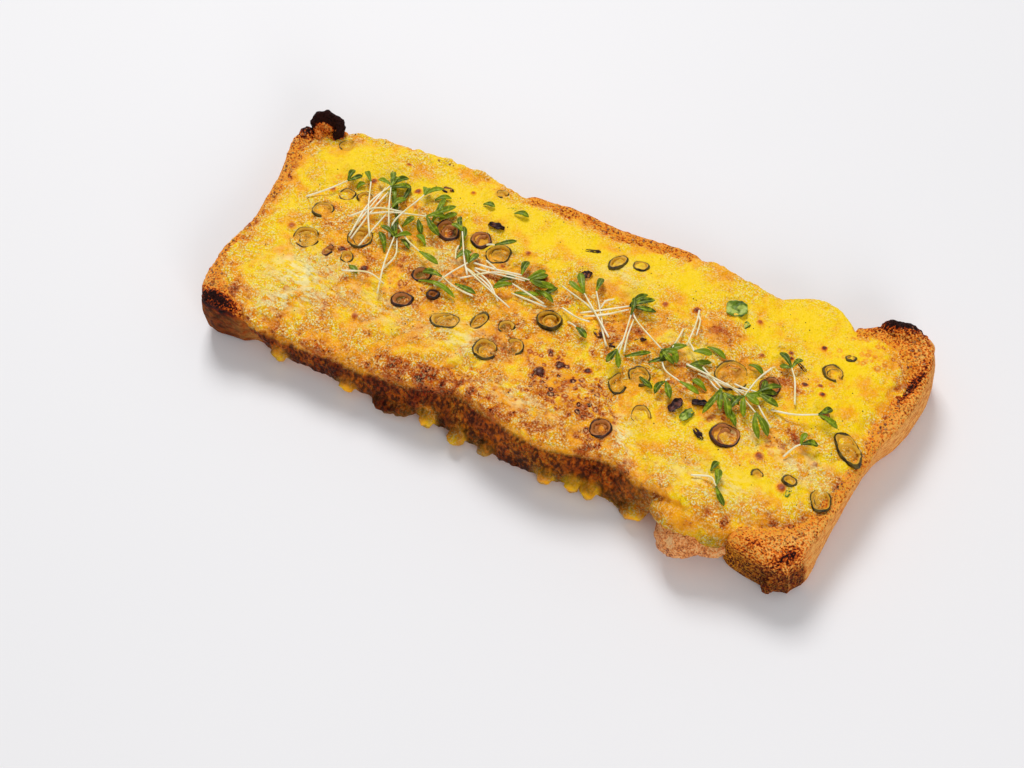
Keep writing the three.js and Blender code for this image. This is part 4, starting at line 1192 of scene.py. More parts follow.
def match_circle(old, loop):
    """Gives each new point of an extruded loop the circle place of the point that it came from."""
    matched = {}
    for point in {point for edge in loop for point in edge.verts}:
        for edge in point.link_edges:
            other = edge.other_vert(point)
            if other in old:
                matched[point] = old[other]
    return matched


def absorb(shape, part):
    """Moves one finished part into the mesh of a whole piece."""
    mesh = bpy.data.meshes.new("part")
    bmesh.ops.recalc_face_normals(part, faces=part.faces)
    part.to_mesh(mesh)
    part.free()
    shape.from_mesh(mesh)
    bpy.data.meshes.remove(mesh)


print("a straight path of two steps:", path_through([(0, 0, 0), (1, 0, 0)], 2))

# %% [markdown]
# At the far left corner a strip of crust has curled up and burnt. It is a flattened tube that runs up
# from the corner, over and down again, and a flat ball fills its inside.

# %% Bread: the burnt curl
CURL = [(-119.5, 46.5, 17), (-121.4, 49.6, 22), (-117, 51.6, 24.6), (-112, 51, 22.6), (-111.8, 48.5, 17)]
CURL_STEPS = 40
CURL_RADIUS = 1.7
CURL_SIDES = 24
CURL_FLAT = 1.9
CURL_INSIDE = ((-117.6, 50.2, 21.2), (4.2, 1.5, 3.6))
shape = bmesh.new()
add_tube(shape, path_through(CURL, CURL_STEPS), [CURL_RADIUS] * (CURL_STEPS + 1), CURL_SIDES, CURL_FLAT)
add_ball(shape, *CURL_INSIDE)
bmesh.ops.recalc_face_normals(shape, faces=shape.faces)
curl = to_piece(shape, "bread_burnt_curl")
points, normals = read_points(curl)
points = points + normals * (0.9 * clouds(points, 3.0) + 0.5 * clouds(points, 1.4))[:, None]
write_points(curl, points)
x, y, z = points.T
inside = bell(x, z, ((CURL_INSIDE[0][0], CURL_INSIDE[0][2]), (3.6, 2.6), 0))
inner = np.maximum(ramp(-0.2, 1.2, 20 - z + 1.5 * clouds(points, 3.0)), ramp(0.2, 0.5, inside))
write_numbers(curl, browning=0.75 - 0.4 * inner, burnt=0.65 - 0.6 * inner - 0.25 * clouds(points, 2.4, 4.0),
              crust=0.3, oily=0, baked=0)
finish_piece(curl, "bread", bread_look, "bread")

# %% [markdown]
# The tuna lies between the bread and the cheese as a flaky layer, and bulges out in a lump at the
# near side. The layer and its lumps are joined by remeshing them as one skin, which is then roughened.

# %% Tuna
# Each lump: middle and reach.
TUNA_LUMPS = [
    ((72, -49.5, 10.8), (9.5, 11, 7.2)), ((79.5, -49, 10.5), (8.5, 7.5, 5.5)),
    ((71.5, -44.5, 17.5), (11.5, 6.5, 5)),
]
TUNA_CELLS = (90, 36)
SKIN_VOXEL = 0.9


def tuna_places(s, t, ring):
    """The place of every point of the flat layer of tuna, before its lumps are joined to it."""
    inset = TUNA_MARGIN + np.where(ring == 0, 1.2, 0.2)
    x, y = place(s, t, 1.0, inset, covered_bare)
    top = surface(x, y) - CHEESE_DEPTH - 0.2
    return x, y, np.where(ring == 2, CUT_FACE + 0.1, np.where(ring == 1, top - 1, top))


def apply_modifier(piece, kind, **settings):
    """Adds a modifier, works out its result and keeps that as the mesh."""
    modifier = piece.modifiers.new(kind.lower(), kind)
    for name, value in settings.items():
        setattr(modifier, name, value)
    graph = bpy.context.evaluated_depsgraph_get()
    result = bpy.data.meshes.new_from_object(piece.evaluated_get(graph))
    piece.modifiers.clear()
    piece.data = result


print("Tuna")
shape = new_shape(*GRID_LAYERS)
add_grid(shape, TUNA_CELLS, 0)
rim = extrude_rings(shape, open_rim(shape), (1, 2))
bmesh.ops.holes_fill(shape, edges=rim, sides=0)
s, t, ring = shape_numbers(shape)
set_places(shape, *tuna_places(s, t, ring))
close_and_turn_out(shape)
for at, reach in TUNA_LUMPS:
    add_ball(shape, at, reach)
tuna = to_piece(shape, "tuna_mix")
apply_modifier(tuna, "REMESH", mode="VOXEL", voxel_size=SKIN_VOXEL)
points, normals = read_points(tuna)
x, y, z = points.T
free = ramp(-41, -46, y)
flakes = 1 - 2.4 * np.abs(clouds(points * [1, 1, 1.8], 4.5, 3.0))
relief = free * (0.9 * clouds(points, 5.5) + 0.6 * flakes + 0.6 * clouds(points, 2.2, 2.0))
points = points + normals * relief[:, None]
write_points(tuna, points)
write_numbers(tuna, browning=0.3 + 0.3 * flakes * free + 0.2 * clouds(points, 3.0))


def make_tuna_material():
    material, tree, shader, where = new_material("tuna_mix")
    fine = use_group(tree, grain, Vector=where, Fine=1500.0, Coarse=500.0)
    heat = swing(tree, fine["Value"], 2.2, attribute(tree, "browning"))
    heat = swing(tree, fine["Blotch"], 0.6, heat)
    colour = bake(tree, heat, "ffc480", "fa9c4a", "c46828", "6a2a10")
    fill_sockets(tree, shader, Base_Color=colour, Roughness=0.5)
    bump(tree, shader, fine["Value"], 0.0012)
    return material


finish_piece(tuna, "tuna", make_tuna_material(), "tuna_filling")

# %% [markdown]
# A slice of spring onion is a thin dark skin round a paler, watery wall. A rounded profile is spun
# once round, then made a little uneven, and laid so that it follows the slope that it lies on.

# %% Onion rings
RING_STEPS = 56
RING_SIDES = 12
RING_WALL = 1.25
RING_HEIGHT = 1.5
# A slice wider than this shows part of a paler layer inside it, smaller, turned and sunk by so much.
LARGE_RING = 3.5
INNER_SHARE = 0.66
INNER_SHIFT = (0.4, -0.3)
INNER_TURN = 50
INNER_SUNK = 0.3
INNER_PART = 0.6
INNER_DARK = 0.6


def add_onion_ring(shape, ring, dice, dark=1.0):
    """Adds one slice. How dark its skin is goes from 0 to 1."""
    x, y, radius, stretch, turn, stands, burnt, part = ring
    one = new_shape("skin", "tone")
    skin, tone = layers_of(one, "skin", "tone")
    wall = RING_WALL + 0.3 * burnt
    height = RING_HEIGHT + stands
    profile = bmesh.ops.create_circle(one, segments=RING_SIDES, radius=0.5)["verts"]
    for point in profile:
        outward, up = 2 * point.co.x, 2 * point.co.y
        point[skin] = dark * (outward + 1) / 2
        squash = 1 - 0.25 * (outward < 0)
        point.co = (radius + wall * (outward - 1) / 2, 0, height * squash * up / 2)
    bmesh.ops.spin(one, geom=one.verts[:] + one.edges[:], cent=(0, 0, 0), axis=(0, 0, 1),
                   angle=2 * math.pi * part, steps=round(RING_STEPS * part), use_merge=part == 1)
    bmesh.ops.holes_fill(one, edges=open_rim(one), sides=0)
    lean = [dice.uniform(0, 2 * math.pi) for _ in range(3)]
    spin = Matrix.Rotation(math.radians(turn), 3, "Z")
    around = [(x + radius * math.cos(angle), y + radius * math.sin(angle)) for angle in range(6)]
    lift = sum(height_on(cheese_tree, *spot) - float(surface(*spot)) for spot in around) / len(around)
    shade = dice.random()
    for point in one.verts:
        angle = math.atan2(point.co.y, point.co.x)
        uneven = 1 + (0.05 + 0.04 * burnt) * math.sin(2 * angle + lean[0])
        uneven += 0.03 * math.sin(5 * angle + lean[1])
        flat = spin @ Vector((point.co.x * uneven * stretch, point.co.y * uneven, 0))
        wave = 0.35 * math.sin(angle + lean[2]) + 0.2 * math.sin(3 * angle + lean[0])
        flat += 0.22 * noise.noise_vector(Vector((x + 1.2 * flat.x, y + 1.2 * flat.y, point.co.z)))
        low = float(surface(x + flat.x, y + flat.y)) + lift
        point.co = (x + flat.x, y + flat.y, low + 0.3 + stands - height / 2 + point.co.z + wave)
        point[tone] = shade
    absorb(shape, one)


def make_onion_material(name, skin_colour, edge_colour, body_colour):
    material, tree, shader, where = new_material(name)
    fine = use_group(tree, grain, Vector=where, Fine=1600.0, Coarse=380.0)
    outer = blend_colours(tree, step_up(tree, fine["Blotch"], 0.4, 0.62), skin_colour, edge_colour)
    skin = swing(tree, fine["Blotch"], 0.5, attribute(tree, "skin"))
    skin = swing(tree, noise_at(tree, where, 170.0), 1.1, skin)
    colour = blend_colours(tree, step_up(tree, skin, 0.42, 0.6), body_colour, outer)
    streaked = blend_colours(tree, 1.0, colour, times_plus(tree, fine["Value"], 0.7, 0.65), "MULTIPLY")
    colour = blend_colours(tree, attribute(tree, "tone"), colour, streaked)
    fill_sockets(tree, shader, Base_Color=colour, Roughness=0.42, Specular_IOR_Level=0.3,
                 Subsurface_Weight=0.08, Subsurface_Radius=(0.001, 0.001, 0.0004))
    bump(tree, shader, fine["Value"], 0.0003, 0.6)
    return material


def make_rings(name, chosen, skin, edge, body):
    dice = random.Random(len(chosen))
    shape = new_shape("skin", "tone")
    for ring in chosen:
        add_onion_ring(shape, ring, dice)
        x, y, radius, stretch, turn, stands, burnt, part = ring
        if radius > LARGE_RING:
            inner = (x + INNER_SHIFT[0], y + INNER_SHIFT[1], INNER_SHARE * radius, stretch,
                     turn + INNER_TURN, stands - INNER_SUNK, burnt, INNER_PART)
            add_onion_ring(shape, inner, dice, INNER_DARK)
    piece = to_piece(shape, name)
    nodes = ["spring_onion_ring_%02d" % (RINGS.index(ring) + 1) for ring in chosen if ring in RINGS]
    finish_piece(piece, "spring_onion", make_onion_material(name, skin, edge, body), *nodes)


onions = RINGS + FAINT_RINGS
make_rings("onion_rings_fresh", [ring for ring in onions if ring[6] < BURNT_FROM],
           "261c08", "5c4c12", "dca428")
make_rings("onion_rings_burnt", [ring for ring in onions if ring[6] >= BURNT_FROM],
           "1c0e08", "4c2416", "b46c2c")

# %% [markdown]
# Cut pieces of onion leaf lie about too: green ones, and burnt ones that have curled.
# Each is a flat grid with rounded corners, bent round its long axis and given a thickness.

# %% Onion leaf pieces
# Each flake: where, length and width, turn, how far it bends round, how high it lies.
GREEN_FLAKES = [
    (56.7, 35.4, 7.6, 6.4, 20, 0.5, 0.9), (57.8, -15.4, 5.6, 3.4, 65, 0.6, 1.0),
    (62.2, 30.2, 3.4, 2.2, 70, 0.5, 0.4), (-35.5, 42.8, 3.2, 1.6, 30, 0.4, 0.3),
    (99.6, -28.2, 3.6, 2.0, 80, 0.5, 0.4),
]
BURNT_FLAKES = [
    (52.9, -13.5, 6.6, 3.6, 70, 0.9, 1.1), (60.5, -9.4, 6.2, 2.8, 15, 1.1, 1.2),
    (64.2, -20.6, 5.2, 2.2, -30, 0.9, 0.8), (-37, 32.6, 6.4, 3.0, 5, 1.1, 0.9),
    (2.2, 25.8, 4.6, 2.8, 40, 0.8, 0.4), (-0.3, 37.5, 5.8, 1.3, 20, 0.7, 0.5),
    (16.6, 3.4, 4.4, 2.2, -20, 0.8, 0.4), (23.4, 1.3, 3.6, 2.2, 30, 0.8, 0.4),
    (31.1, 7.4, 4.6, 1.2, 35, 0.7, 0.4), (-11.6, 15.6, 6.2, 1.8, 10, 0.9, 0.6),
    (86.5, 21.8, 4.2, 1.2, -30, 0.8, 0.4), (103.4, 4.0, 3.2, 1.4, 10, 0.8, 0.4),
]
FLAKE_CELLS = (18, 12)
FLAKE_THICKNESS = 0.35


def add_flake(shape, flake, dice):
    """Adds one bent piece of onion leaf with ragged edges."""
    x, y, length, width, turn, bend, lift = flake
    one = new_shape("skin", "tone")
    skin, tone = layers_of(one, "skin", "tone")
    bmesh.ops.create_grid(one, x_segments=FLAKE_CELLS[0], y_segments=FLAKE_CELLS[1], size=1)
    wave = dice.uniform(0, 6)
    ragged = 0.3 if bend < 0.7 else 0.7
    for point in one.verts:
        u, v = point.co.x, point.co.y
        narrow = 1 - 0.7 * ragged * u ** 4 + ragged * noise.noise(Vector((u * 1.8, wave, 0)))
        angle = v * bend
        reach = width / 2 / bend
        point[skin] = 0.5 + 0.45 * abs(v) ** 3 - 0.2 * noise.noise(Vector((u * 3, v * 3, wave)))
        point.co = (u * length / 2 * (1 - 0.1 * v ** 4), reach * math.sin(angle) * narrow,
                    reach * (1 - math.cos(angle)) + 0.8 * noise.noise(Vector((u * 1.8, v * 2.2, wave))))
        point[tone] = dice.random()
    bmesh.ops.solidify(one, geom=one.faces[:], thickness=FLAKE_THICKNESS)
    spot = Matrix.Translation((x, y, height_on(cheese_tree, x, y) + lift - 0.5))
    tilt = Matrix.Rotation(dice.uniform(-0.2, 0.2), 4, "X")
    laid = spot @ Matrix.Rotation(math.radians(turn), 4, "Z") @ tilt
    bmesh.ops.transform(one, verts=one.verts, matrix=laid)
    absorb(shape, one)


def make_flakes(name, flakes, look, *nodes):
    dice = random.Random(len(flakes))
    shape = new_shape("skin", "tone")
    for flake in flakes:
        add_flake(shape, flake, dice)
    finish_piece(to_piece(shape, name), "spring_onion", look, *nodes)


make_flakes("onion_leaf_green_pieces", GREEN_FLAKES,
            make_onion_material("onion_leaf_green", "3a5408", "6c8814", "b4c458"), "onion_leaf_green")
make_flakes("onion_leaf_burnt_pieces", BURNT_FLAKES,
            make_onion_material("onion_leaf_burnt", "180a0c", "3a1c20", "6e3a2c"),
            *["onion_scrap_burnt_%d" % number for number in (1, 2, 3, 4)])

# %% [markdown]
# Cress is a pale stem as thin as a thread with two or three narrow leaves at its end. The sprouts lie
# over each other in loose bundles, so each one is lifted a little differently.

# %% Places of the cress
# Each sprout: the points of its stem from root to tip, and the tips of its leaves.
SPROUTS = {
    "cress_left_end": [
        ([(-107.9, 16.3), (-102.3, 21.5), (-96.5, 28.2)], [(-96.8, 34.2), (-93.0, 33.4)]),
    ],
    "cress_left": [
        ([(-83.7, 5.3), (-83.5, 20.2), (-80, 32.2)], [(-86.7, 34.0), (-83.1, 39.6), (-76.4, 39)]),
        ([(-84.1, 9.2), (-82.2, 20), (-81.4, 30)], []),
        ([(-83.1, 5.2), (-80.8, 19.7), (-79.7, 28.9)], [(-75.6, 34.4)]),
        ([(-70.3, 11.2), (-75.1, 20.6), (-79.6, 30.8)], [(-73.4, 35.3), (-81, 37.3)]),
        ([(-76.6, 7.8), (-82, 17.3), (-87.9, 30.6)], [(-92.6, 35.6)]),
        ([(-83, 16.4), (-74.3, 19.7), (-61.1, 23.6)], [(-53.9, 33.6), (-53.4, 18.4), (-55.2, 26.8)]),
        ([(-70.1, 10.9), (-70.6, 17.3), (-66.1, 31.7)], [(-67.4, 37.2), (-61.7, 39.4)]),
        ([(-62.2, -13.7), (-65.7, -1.6), (-67.8, 10.6)], [(-74.6, 13.0), (-63.1, 15.4)]),
        ([(-66, -3), (-63.9, 3.7), (-66.9, 11)], [(-71.2, 17.2)]),
        ([(-69, 16.5), (-63, 11.6), (-56.5, 8.5)], [(-47.8, 6.4)]),
        ([(-78.6, -9.8), (-68.8, -7.8), (-61.4, -9.9)], []),
        ([(-88, 13), (-80, 19.5), (-70, 21.6)], []), ([(-79, 3), (-77, 12), (-74.6, 22)], [(-72, 28.6)]),
    ],
    "cress_middle": [
        ([(-36.2, 6.5), (-40.2, 12.3), (-46.2, 23.0)], [(-50.4, 30), (-51.5, 24.8)]),
        ([(-45.4, 18.1), (-44.4, 14), (-43, 11)], [(-39.6, 17.2)]),
        ([(-39.5, 10.2), (-31.9, 5.6), (-15.3, -2.1)], []),
        ([(-38.1, 10.1), (-28.1, 5.3), (-21.9, 1.3)], []),
        ([(-35.1, 10.5), (-27.5, 6.3), (-20.6, -0.5)], []),
        ([(-45.2, -2.5), (-42, 4.2), (-38.3, 11.2)], [(-36.9, 17.2), (-42, 16.4)]),
        ([(-30.2, -1.1), (-37.1, -0.6), (-43.6, 1.2)], [(-51.7, 1.6)]),
        ([(-38.1, 4.2), (-27.2, 11.7), (-14.8, 13.7)], [(-7.6, 12.8), (-5.1, 15.2), (-9.6, 18.5)]),
        ([(-35.4, 11.2), (-28.8, 11), (-16.3, 13)], [(-11.4, 20.4)]),
        ([(-36.4, 12.6), (-27.8, 12.6), (-18.3, 14.4)], [(-18.8, 21.4)]),
        ([(-5.9, 6.6), (-12.6, 7.7), (-19.3, 8.7)], [(-24.9, 4.6)]),
        ([(-4.7, 6.2), (-11, 5.4), (-18.2, 5.5)], []), ([(-33, 15.7), (-30, 14), (-27.6, 12.5)], []),
        ([(-36, 22.3), (-34.6, 22.4), (-33.0, 22.8)], [(-26.4, 27.7)]),
    ],
    "cress_centre": [
        ([(0.8, 7.6), (7.8, 5.3), (12.4, 5.1)], []),
        ([(21.7, -1), (12, 10.9), (-3.1, 16.1)], []),
        ([(21, 2.3), (11.1, 11.4), (5.5, 16.3)], [(0.2, 24.7), (-1.6, 18.9)]),
        ([(16.5, 7.5), (12.5, 14), (8.9, 19.2)], [(8.4, 26)]),
        ([(12.9, 14.1), (13.5, 17), (16.1, 18.7)], []),
        ([(7.1, 9.2), (15.2, 13.9), (22.1, 18.5)], [(26.1, 26), (29.5, 24.3), (31.7, 20.2)]),
        ([(12.1, 10), (17, 12.6), (21.7, 16)], []), ([(9, 7.8), (16, 11.6), (22.5, 17)], []),
        ([(27, -4.8), (26.2, 3.8), (24.3, 14.5)], [(22.2, 22.4)]),
        ([(28.3, -1), (27, 5.1), (26, 12.9)], []),
        ([(26.4, 4), (26, 0), (25.9, -2)], [(24.4, -7.6), (29.1, -7.4)]),
        ([(23, 18.1), (28, 12.5), (40, 5)], [(46.2, 1.2), (45.6, 6.2)]),
        ([(4.8, 3.6), (7, 2.4), (8.8, 1.6)], [(14, -1.2)]),
    ],
    "cress_right": [
        ([(43.1, 17.8), (43.4, 12), (43.1, 7)], [(41.0, 1.2), (46.8, 2.4)]),
        ([(45, 28.4), (46.5, 20.9), (47.2, 10.3)], [(42.4, 7.0)]),
        ([(45.6, 26), (47.6, 22), (48.7, 15.8)], []),
        ([(47.1, 12.4), (49, 10.6), (50.5, 8.6)], [(56.8, 10.3)]),
        ([(40, 5), (43.9, -1.6), (50.8, -5.1)], [(58.7, -6.6)]),
        ([(50, 3.2), (60.8, 1.6), (72.9, -0.3)], [(79.0, -2.6), (79.2, 2.8)]),
        ([(55, 1.7), (65.8, 1.2), (75.2, 1.4)], [(82.8, 5.6)]),
        ([(55.6, 4.7), (61, 1.1), (65, -2)], [(62.6, -13.5), (67.8, -10.6)]),
        ([(58, 2.6), (62, -1), (65.9, -3.4)], [(71.3, -11.5), (72.8, -5.4)]),
        ([(65.2, 2.8), (71.6, -0.8), (79.1, -6.4)], [(83.6, -14.6), (86.1, -12.4)]),
        ([(85.8, -8.8), (81.5, -5.3), (75.4, 1)], []),
        ([(77.2, 15), (74.7, 7.7), (73.1, -1.2)], [(76.0, -9.4), (70.6, -8.2)]),
        ([(68, 3.4), (72, 2.6), (76.5, 2.2)], [(83.3, 8.2), (85.3, -0.8)]),
        ([(46.6, -3.8), (46, -5), (46.2, -6)], [(44.5, -12.3), (50.4, -12.6)]),
    ],
    "cress_right_sprig": [
        ([(83.3, -2.2), (91.2, -1.3), (98.6, 2.5)], [(106.3, 1.2), (102, 7.8)]),
    ],
    "cress_far_sprig": [
        ([(89.9, 3.2), (86.5, 12.8), (83.6, 17.7)], [(77.4, 22.9), (85.8, 23.9), (79.2, 17.8)]),
    ],
    "cress_front_sprig": [
        ([(68.4, -38.2), (74.7, -36.8), (77.8, -39.6)], [(82.7, -44.2), (75.6, -31.8)]),
    ],
    "cress_front_leaf": [
        ([(93.4, -16.8), (95.6, -13), (97.2, -10.9)], [(102.7, -7.9), (97.6, -5.9)]),
    ],
}
# Leaves whose stem is hidden: from and to.
LOOSE_LEAVES = [
    ((-77.8, -6.1), (-73.2, -8.4)), ((-38.9, 1.9), (-29.8, 0.3)), ((28.9, -1.7), (36.6, 3.6)),
    ((36.8, -7.0), (42.9, -10.0)), ((53.5, 14.5), (61.3, 12.4)), ((50.4, 4.4), (57.4, 8.6)),
    ((50.0, 3.4), (57.9, 4.2)), ((37.3, -0.4), (43.6, 3.6)), ((73.6, -33), (74.6, -28.2)),
    ((-46, 40.2), (-41.4, 40.6)), ((-33.6, 40.8), (-28, 41.6)), ((69.4, 13.8), (75.4, 12.0)),
    ((-64, 22.4), (-60.2, 17.4)), ((-25.4, 9.0), (-20.6, 14.6)), ((-62.6, 33.4), (-57.6, 37.2)),
    ((60.2, -3.2), (54.0, -1.0)), ((68.4, -6.4), (74.8, -13.2)), ((77.2, 3.6), (77.0, 10.4)),
    ((-73.7, 26.6), (-74.3, 36.1)), ((-70.0, 17.5), (-78.1, 29.5)), ((-69.2, 5.0), (-74.7, 11.8)),
    ((-58.9, 21.6), (-59.6, 36.3)), ((-44.3, 16.7), (-47.5, 27.0)), ((-51.7, -1.9), (-36.2, -3.6)),
    ((-17.8, 7.3), (-9.2, 10.2)), ((-9.2, 10.2), (-4.6, 15.8)), ((-11.5, 11.4), (-3.1, 8.6)),
    ((-74.8, 24.9), (-81.9, 35.0)), ((-66.3, 12.2), (-60.9, 8.9)), ((-56.8, 25.0), (-52.4, 31.2)),
    ((-92.5, 27.6), (-90.5, 30.9)), ((-68.1, 17.5), (-65.8, 22.7)), ((-56.7, 13.6), (-61.8, 16.4)),
]

# %% [markdown]
# Each stem is a tube, and each leaf a small bent blade. No sprout may rise above the highest one of
# the solids.

# %% Cress: stems and leaves
STEM_RADIUS = 0.34
STEM_STEPS = 16
STEM_SIDES = 7
LEAF_CELLS = (12, 6)
LEAF_WIDTH = 2.2
LEAF_THICKNESS = 0.22
HIGHEST = 27.6


def stem_height(x, y, rise):
    return min(height_on(cheese_tree, x, y) + rise, HIGHEST)


def add_leaf(shape, base, tip, width, dice):
    """A narrow blade from base to tip, folded along its rib."""
    one = new_shape("rib", "tone")
    rib, tone = layers_of(one, "rib", "tone")
    bmesh.ops.create_grid(one, x_segments=LEAF_CELLS[0], y_segments=LEAF_CELLS[1], size=1)
    ahead = tip - base
    shade = dice.random()
    fold, arch, sway = dice.uniform(0.2, 0.6), dice.uniform(0.06, 0.14), dice.uniform(-0.1, 0.1)
    for point in one.verts:
        u, v = (point.co.x + 1) / 2, point.co.y
        half = width / 2 * max(math.sin(math.pi * u ** 1.7), 0) ** 0.7 + 0.24 * (1 - u) + 0.06
        point[rib] = 1 - abs(v)
        point[tone] = shade
        rise = fold * abs(v) * half + arch * ahead.length * math.sin(math.pi * u)
        point.co = (ahead.length * u, v * half + sway * ahead.length * math.sin(math.pi * u), rise)
    bmesh.ops.solidify(one, geom=one.faces[:], thickness=LEAF_THICKNESS)
    place_leaf = Matrix.Translation(base) @ ahead.to_track_quat("X", "Z").to_matrix().to_4x4()
    bmesh.ops.transform(one, verts=one.verts, matrix=place_leaf)
    absorb(shape, one)


def lay_sprout(stems, leaves, stem, tips, dice):
    """Adds the stem of one sprout to the stems, and a blade for each of its tips to the leaves."""
    lift = dice.uniform(0, 1.5)
    rises = (0.5 + lift, 1.5 + lift, 2.0 + lift)
    points = [(x, y, stem_height(x, y, rise)) for (x, y), rise in zip(stem, rises)]
    path = path_through(points, STEM_STEPS)
    radii = [STEM_RADIUS * (1.1 - 0.3 * step / STEM_STEPS) for step in range(STEM_STEPS + 1)]
    one = new_shape("tone")
    add_tube(one, path, radii, STEM_SIDES)
    tone = one.verts.layers.float["tone"]
    shade = dice.random()
    for point in one.verts:
        point[tone] = shade
    absorb(stems, one)
    for x, y in tips:
        tip = Vector((x, y, stem_height(x, y, dice.uniform(1.0, 2.2) + 0.6 * lift)))
        add_leaf(leaves, path[-1], tip, LEAF_WIDTH * dice.uniform(0.75, 1.15), dice)


dice = random.Random(21)
stems, leaves = new_shape("tone"), new_shape("rib", "tone")
for sprouts in SPROUTS.values():
    for stem, tips in sprouts:
        lay_sprout(stems, leaves, stem, tips, dice)
for (x, y), (tip_x, tip_y) in LOOSE_LEAVES:
    base = Vector((x, y, stem_height(x, y, 0.6)))
    tip = Vector((tip_x, tip_y, stem_height(tip_x, tip_y, 1.0)))
    add_leaf(leaves, base, tip, LEAF_WIDTH * dice.uniform(0.7, 1.0), dice)


def make_stem_material():
    material, tree, shader, where = new_material("cress_stem")
    fine = noise_at(tree, where, 260.0)
    colour = blend_colours(tree, step_up(tree, fine, 0.4, 0.7), "fff6dc", "f2e2a4")
    colour = blend_colours(tree, times(tree, attribute(tree, "tone"), 0.3), colour, "d9d68a")
    fill_sockets(tree, shader, Base_Color=colour, Roughness=0.4,
                 Subsurface_Weight=0.2, Subsurface_Radius=(0.001, 0.001, 0.0006))
    bump(tree, shader, noise_at(tree, where, 1500.0), 0.0001, 0.5)
    return material


def make_leaf_material():
    material, tree, shader, where = new_material("cress_leaf")
    fine = noise_at(tree, where, 700.0)
    colour = blend_colours(tree, attribute(tree, "tone"), "3a4a02", "788c04")
    colour = blend_colours(tree, step_up(tree, fine, 0.45, 0.8), colour, "a4b414")
    rib = times(tree, step_up(tree, attribute(tree, "rib"), 0.8, 1.0), 0.45)
    colour = blend_colours(tree, rib, colour, "acc250")
    fill_sockets(tree, shader, Base_Color=colour, Roughness=0.35, Specular_IOR_Level=0.2,
                 Subsurface_Weight=0.05, Subsurface_Radius=(0.0008, 0.0008, 0.0002))
    bump(tree, shader, fine, 0.0002, 0.6)
    return material


finish_piece(to_piece(stems, "cress_stems"), "cress", make_stem_material(), *SPROUTS)
finish_piece(to_piece(leaves, "cress_leaves"), "cress", make_leaf_material(), *SPROUTS)

# %% [markdown]
# Ground pepper lies on the cheese, and toasted crumbs on the bare bread. They are real grains: small
# uneven balls, each set on the skin below it.

# %% Pepper and crumbs
PEPPER = 320
PEPPER_ALONG = (-112, 112)
PEPPER_ACROSS = (-34, 46)
PEPPER_MARGIN = 2
CRUMBS = 260
# Crumbs lie along three sides, at these shares of the plan.
CRUMB_AT = {"far": 0.985, "left": 0.006, "right": 0.985}
CRUMB_SPREAD = 0.012
CRUMB_INSET = 1.6


def add_grain(shape, spot, size, dice):
    """Adds one small uneven ball."""
    one = new_shape("tone")
    tone = one.verts.layers.float["tone"]
    bmesh.ops.create_icosphere(one, subdivisions=1, radius=size)
    shade = dice.random()
    for point in one.verts:
        point.co = point.co * dice.uniform(0.65, 1.15)
        point[tone] = shade
    flat = Matrix.Diagonal((1, dice.uniform(0.6, 1), 0.6, 1))
    turn = Matrix.Rotation(dice.uniform(0, 6.3), 4, "Z")
    bmesh.ops.transform(one, verts=one.verts, matrix=Matrix.Translation(spot) @ turn @ flat)
    absorb(shape, one)


def make_grain_material(name, dark, light):
    material, tree, shader, where = new_material(name)
    fine = noise_at(tree, where, 2500.0)
    colour = blend_colours(tree, attribute(tree, "tone"), dark, light)
    colour = blend_colours(tree, times(tree, fine, 0.6), colour, dark)
    fill_sockets(tree, shader, Base_Color=colour, Roughness=0.6)
    bump(tree, shader, fine, 0.0001, 0.6)
    return material


dice = random.Random(5)
pepper = new_shape("tone")
for _ in range(PEPPER):
    x, y = dice.uniform(*PEPPER_ALONG), dice.uniform(*PEPPER_ACROSS)
    if min(float(gap) for gap, bareness in cheese_gaps(x, y).values()) > PEPPER_MARGIN:
        size = dice.uniform(0.12, 0.3)
        add_grain(pepper, (x, y, height_on(cheese_tree, x, y) + 0.3 * size), size, dice)
finish_piece(to_piece(pepper, "pepper_grains"), "cheese", make_grain_material("pepper", "1c100a", "5a2c14"))

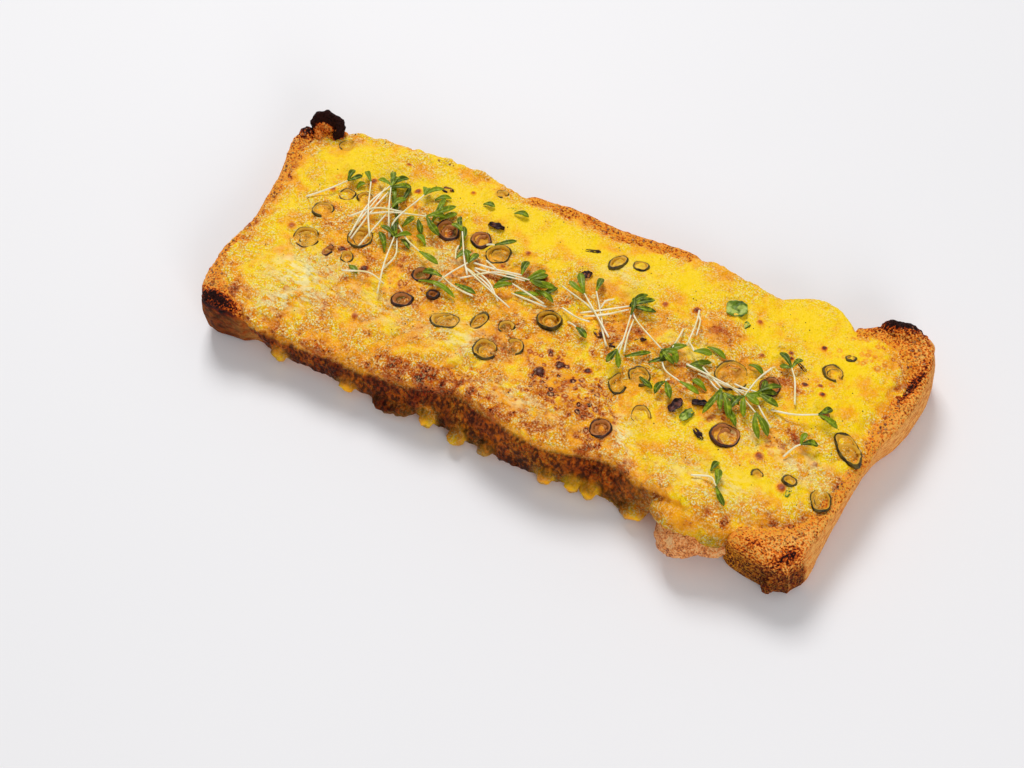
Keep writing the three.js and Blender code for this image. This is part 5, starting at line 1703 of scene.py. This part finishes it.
crumbs = new_shape("tone")
for _ in range(CRUMBS):
    s, t = dice.random(), dice.random()
    side = list(CRUMB_AT)[dice.randrange(3)]
    s_shift, t_shift = (CRUMB_SPREAD * dice.uniform(-1, 1) for _ in range(2))
    if side == "far":
        t = CRUMB_AT[side]
    else:
        s = CRUMB_AT[side] + s_shift
    s, t = np.clip([s, t + t_shift], 0, 1)
    x, y = (float(value) for value in place(s, t, 1, CRUMB_INSET))
    size = dice.uniform(0.25, 0.6)
    add_grain(crumbs, (x, y, height_on(bread_tree, x, y) + 0.3 * size), size, dice)
look = make_grain_material("toasted_crumbs", "6a2c12", "e0a060")
finish_piece(to_piece(crumbs, "toasted_crumbs"), "bread", look)

# %% [markdown]
# The scene is plain: a pale floor, a wide soft light from the upper left behind the bread, a weak one
# low in front on the right, and the camera where the photographer stood.

# %% Floor, light and camera
FLOOR_SIZE = 3.0
CAMERA_AT = (0.14646, -0.34415, 0.545)
CAMERA_LOOKS = (-0.2376, 0.5046, -0.8300)
LENS = 63.95
SENSOR = 36.0
WORLD_LIGHT = 0.42
# Each light: its place, its size and its power.
LIGHTS = {"key_light": ((-1.0, 1.4, 1.9), 0.9, 40.0), "fill_light": ((0.8, -0.9, 0.6), 0.6, 5.6)}


def make_floor():
    shape = bmesh.new()
    bmesh.ops.create_grid(shape, x_segments=1, y_segments=1, size=FLOOR_SIZE / 2)
    floor = to_piece(shape, "floor")
    material, tree, shader, where = new_material("pale_floor")
    colour = blend_colours(tree, noise_at(tree, where, 3.0), "f1f0f2", "edecee")
    fill_sockets(tree, shader, Base_Color=colour, Roughness=0.6)
    floor.data.materials.append(material)


def add_softbox(name, at, size, power):
    """A square area light that faces the middle of the bread."""
    data = bpy.data.lights.new(name, "AREA")
    data.size = size
    data.energy = power
    lamp = bpy.data.objects.new(name, data)
    lamp.location = at
    lamp.rotation_euler = (-Vector(at)).to_track_quat("-Z", "Y").to_euler()
    bpy.context.scene.collection.objects.link(lamp)


make_floor()
for name, (at, size, power) in LIGHTS.items():
    add_softbox(name, at, size, power)
world = bpy.data.worlds.new("studio")
world.use_nodes = True
fill_sockets(world.node_tree, world.node_tree.nodes["Background"], Color="ffffff", Strength=WORLD_LIGHT)
scene = bpy.context.scene
scene.world = world
scene.view_settings.view_transform = "Standard"

lens = bpy.data.cameras.new("camera")
lens.lens = LENS
lens.sensor_width = SENSOR
camera = bpy.data.objects.new("camera", lens)
camera.location = CAMERA_AT
camera.rotation_euler = Vector(CAMERA_LOOKS).to_track_quat("-Z", "Y").to_euler()
scene.collection.objects.link(camera)
scene.camera = camera
print("lights:", list(LIGHTS), "camera at:", CAMERA_AT)
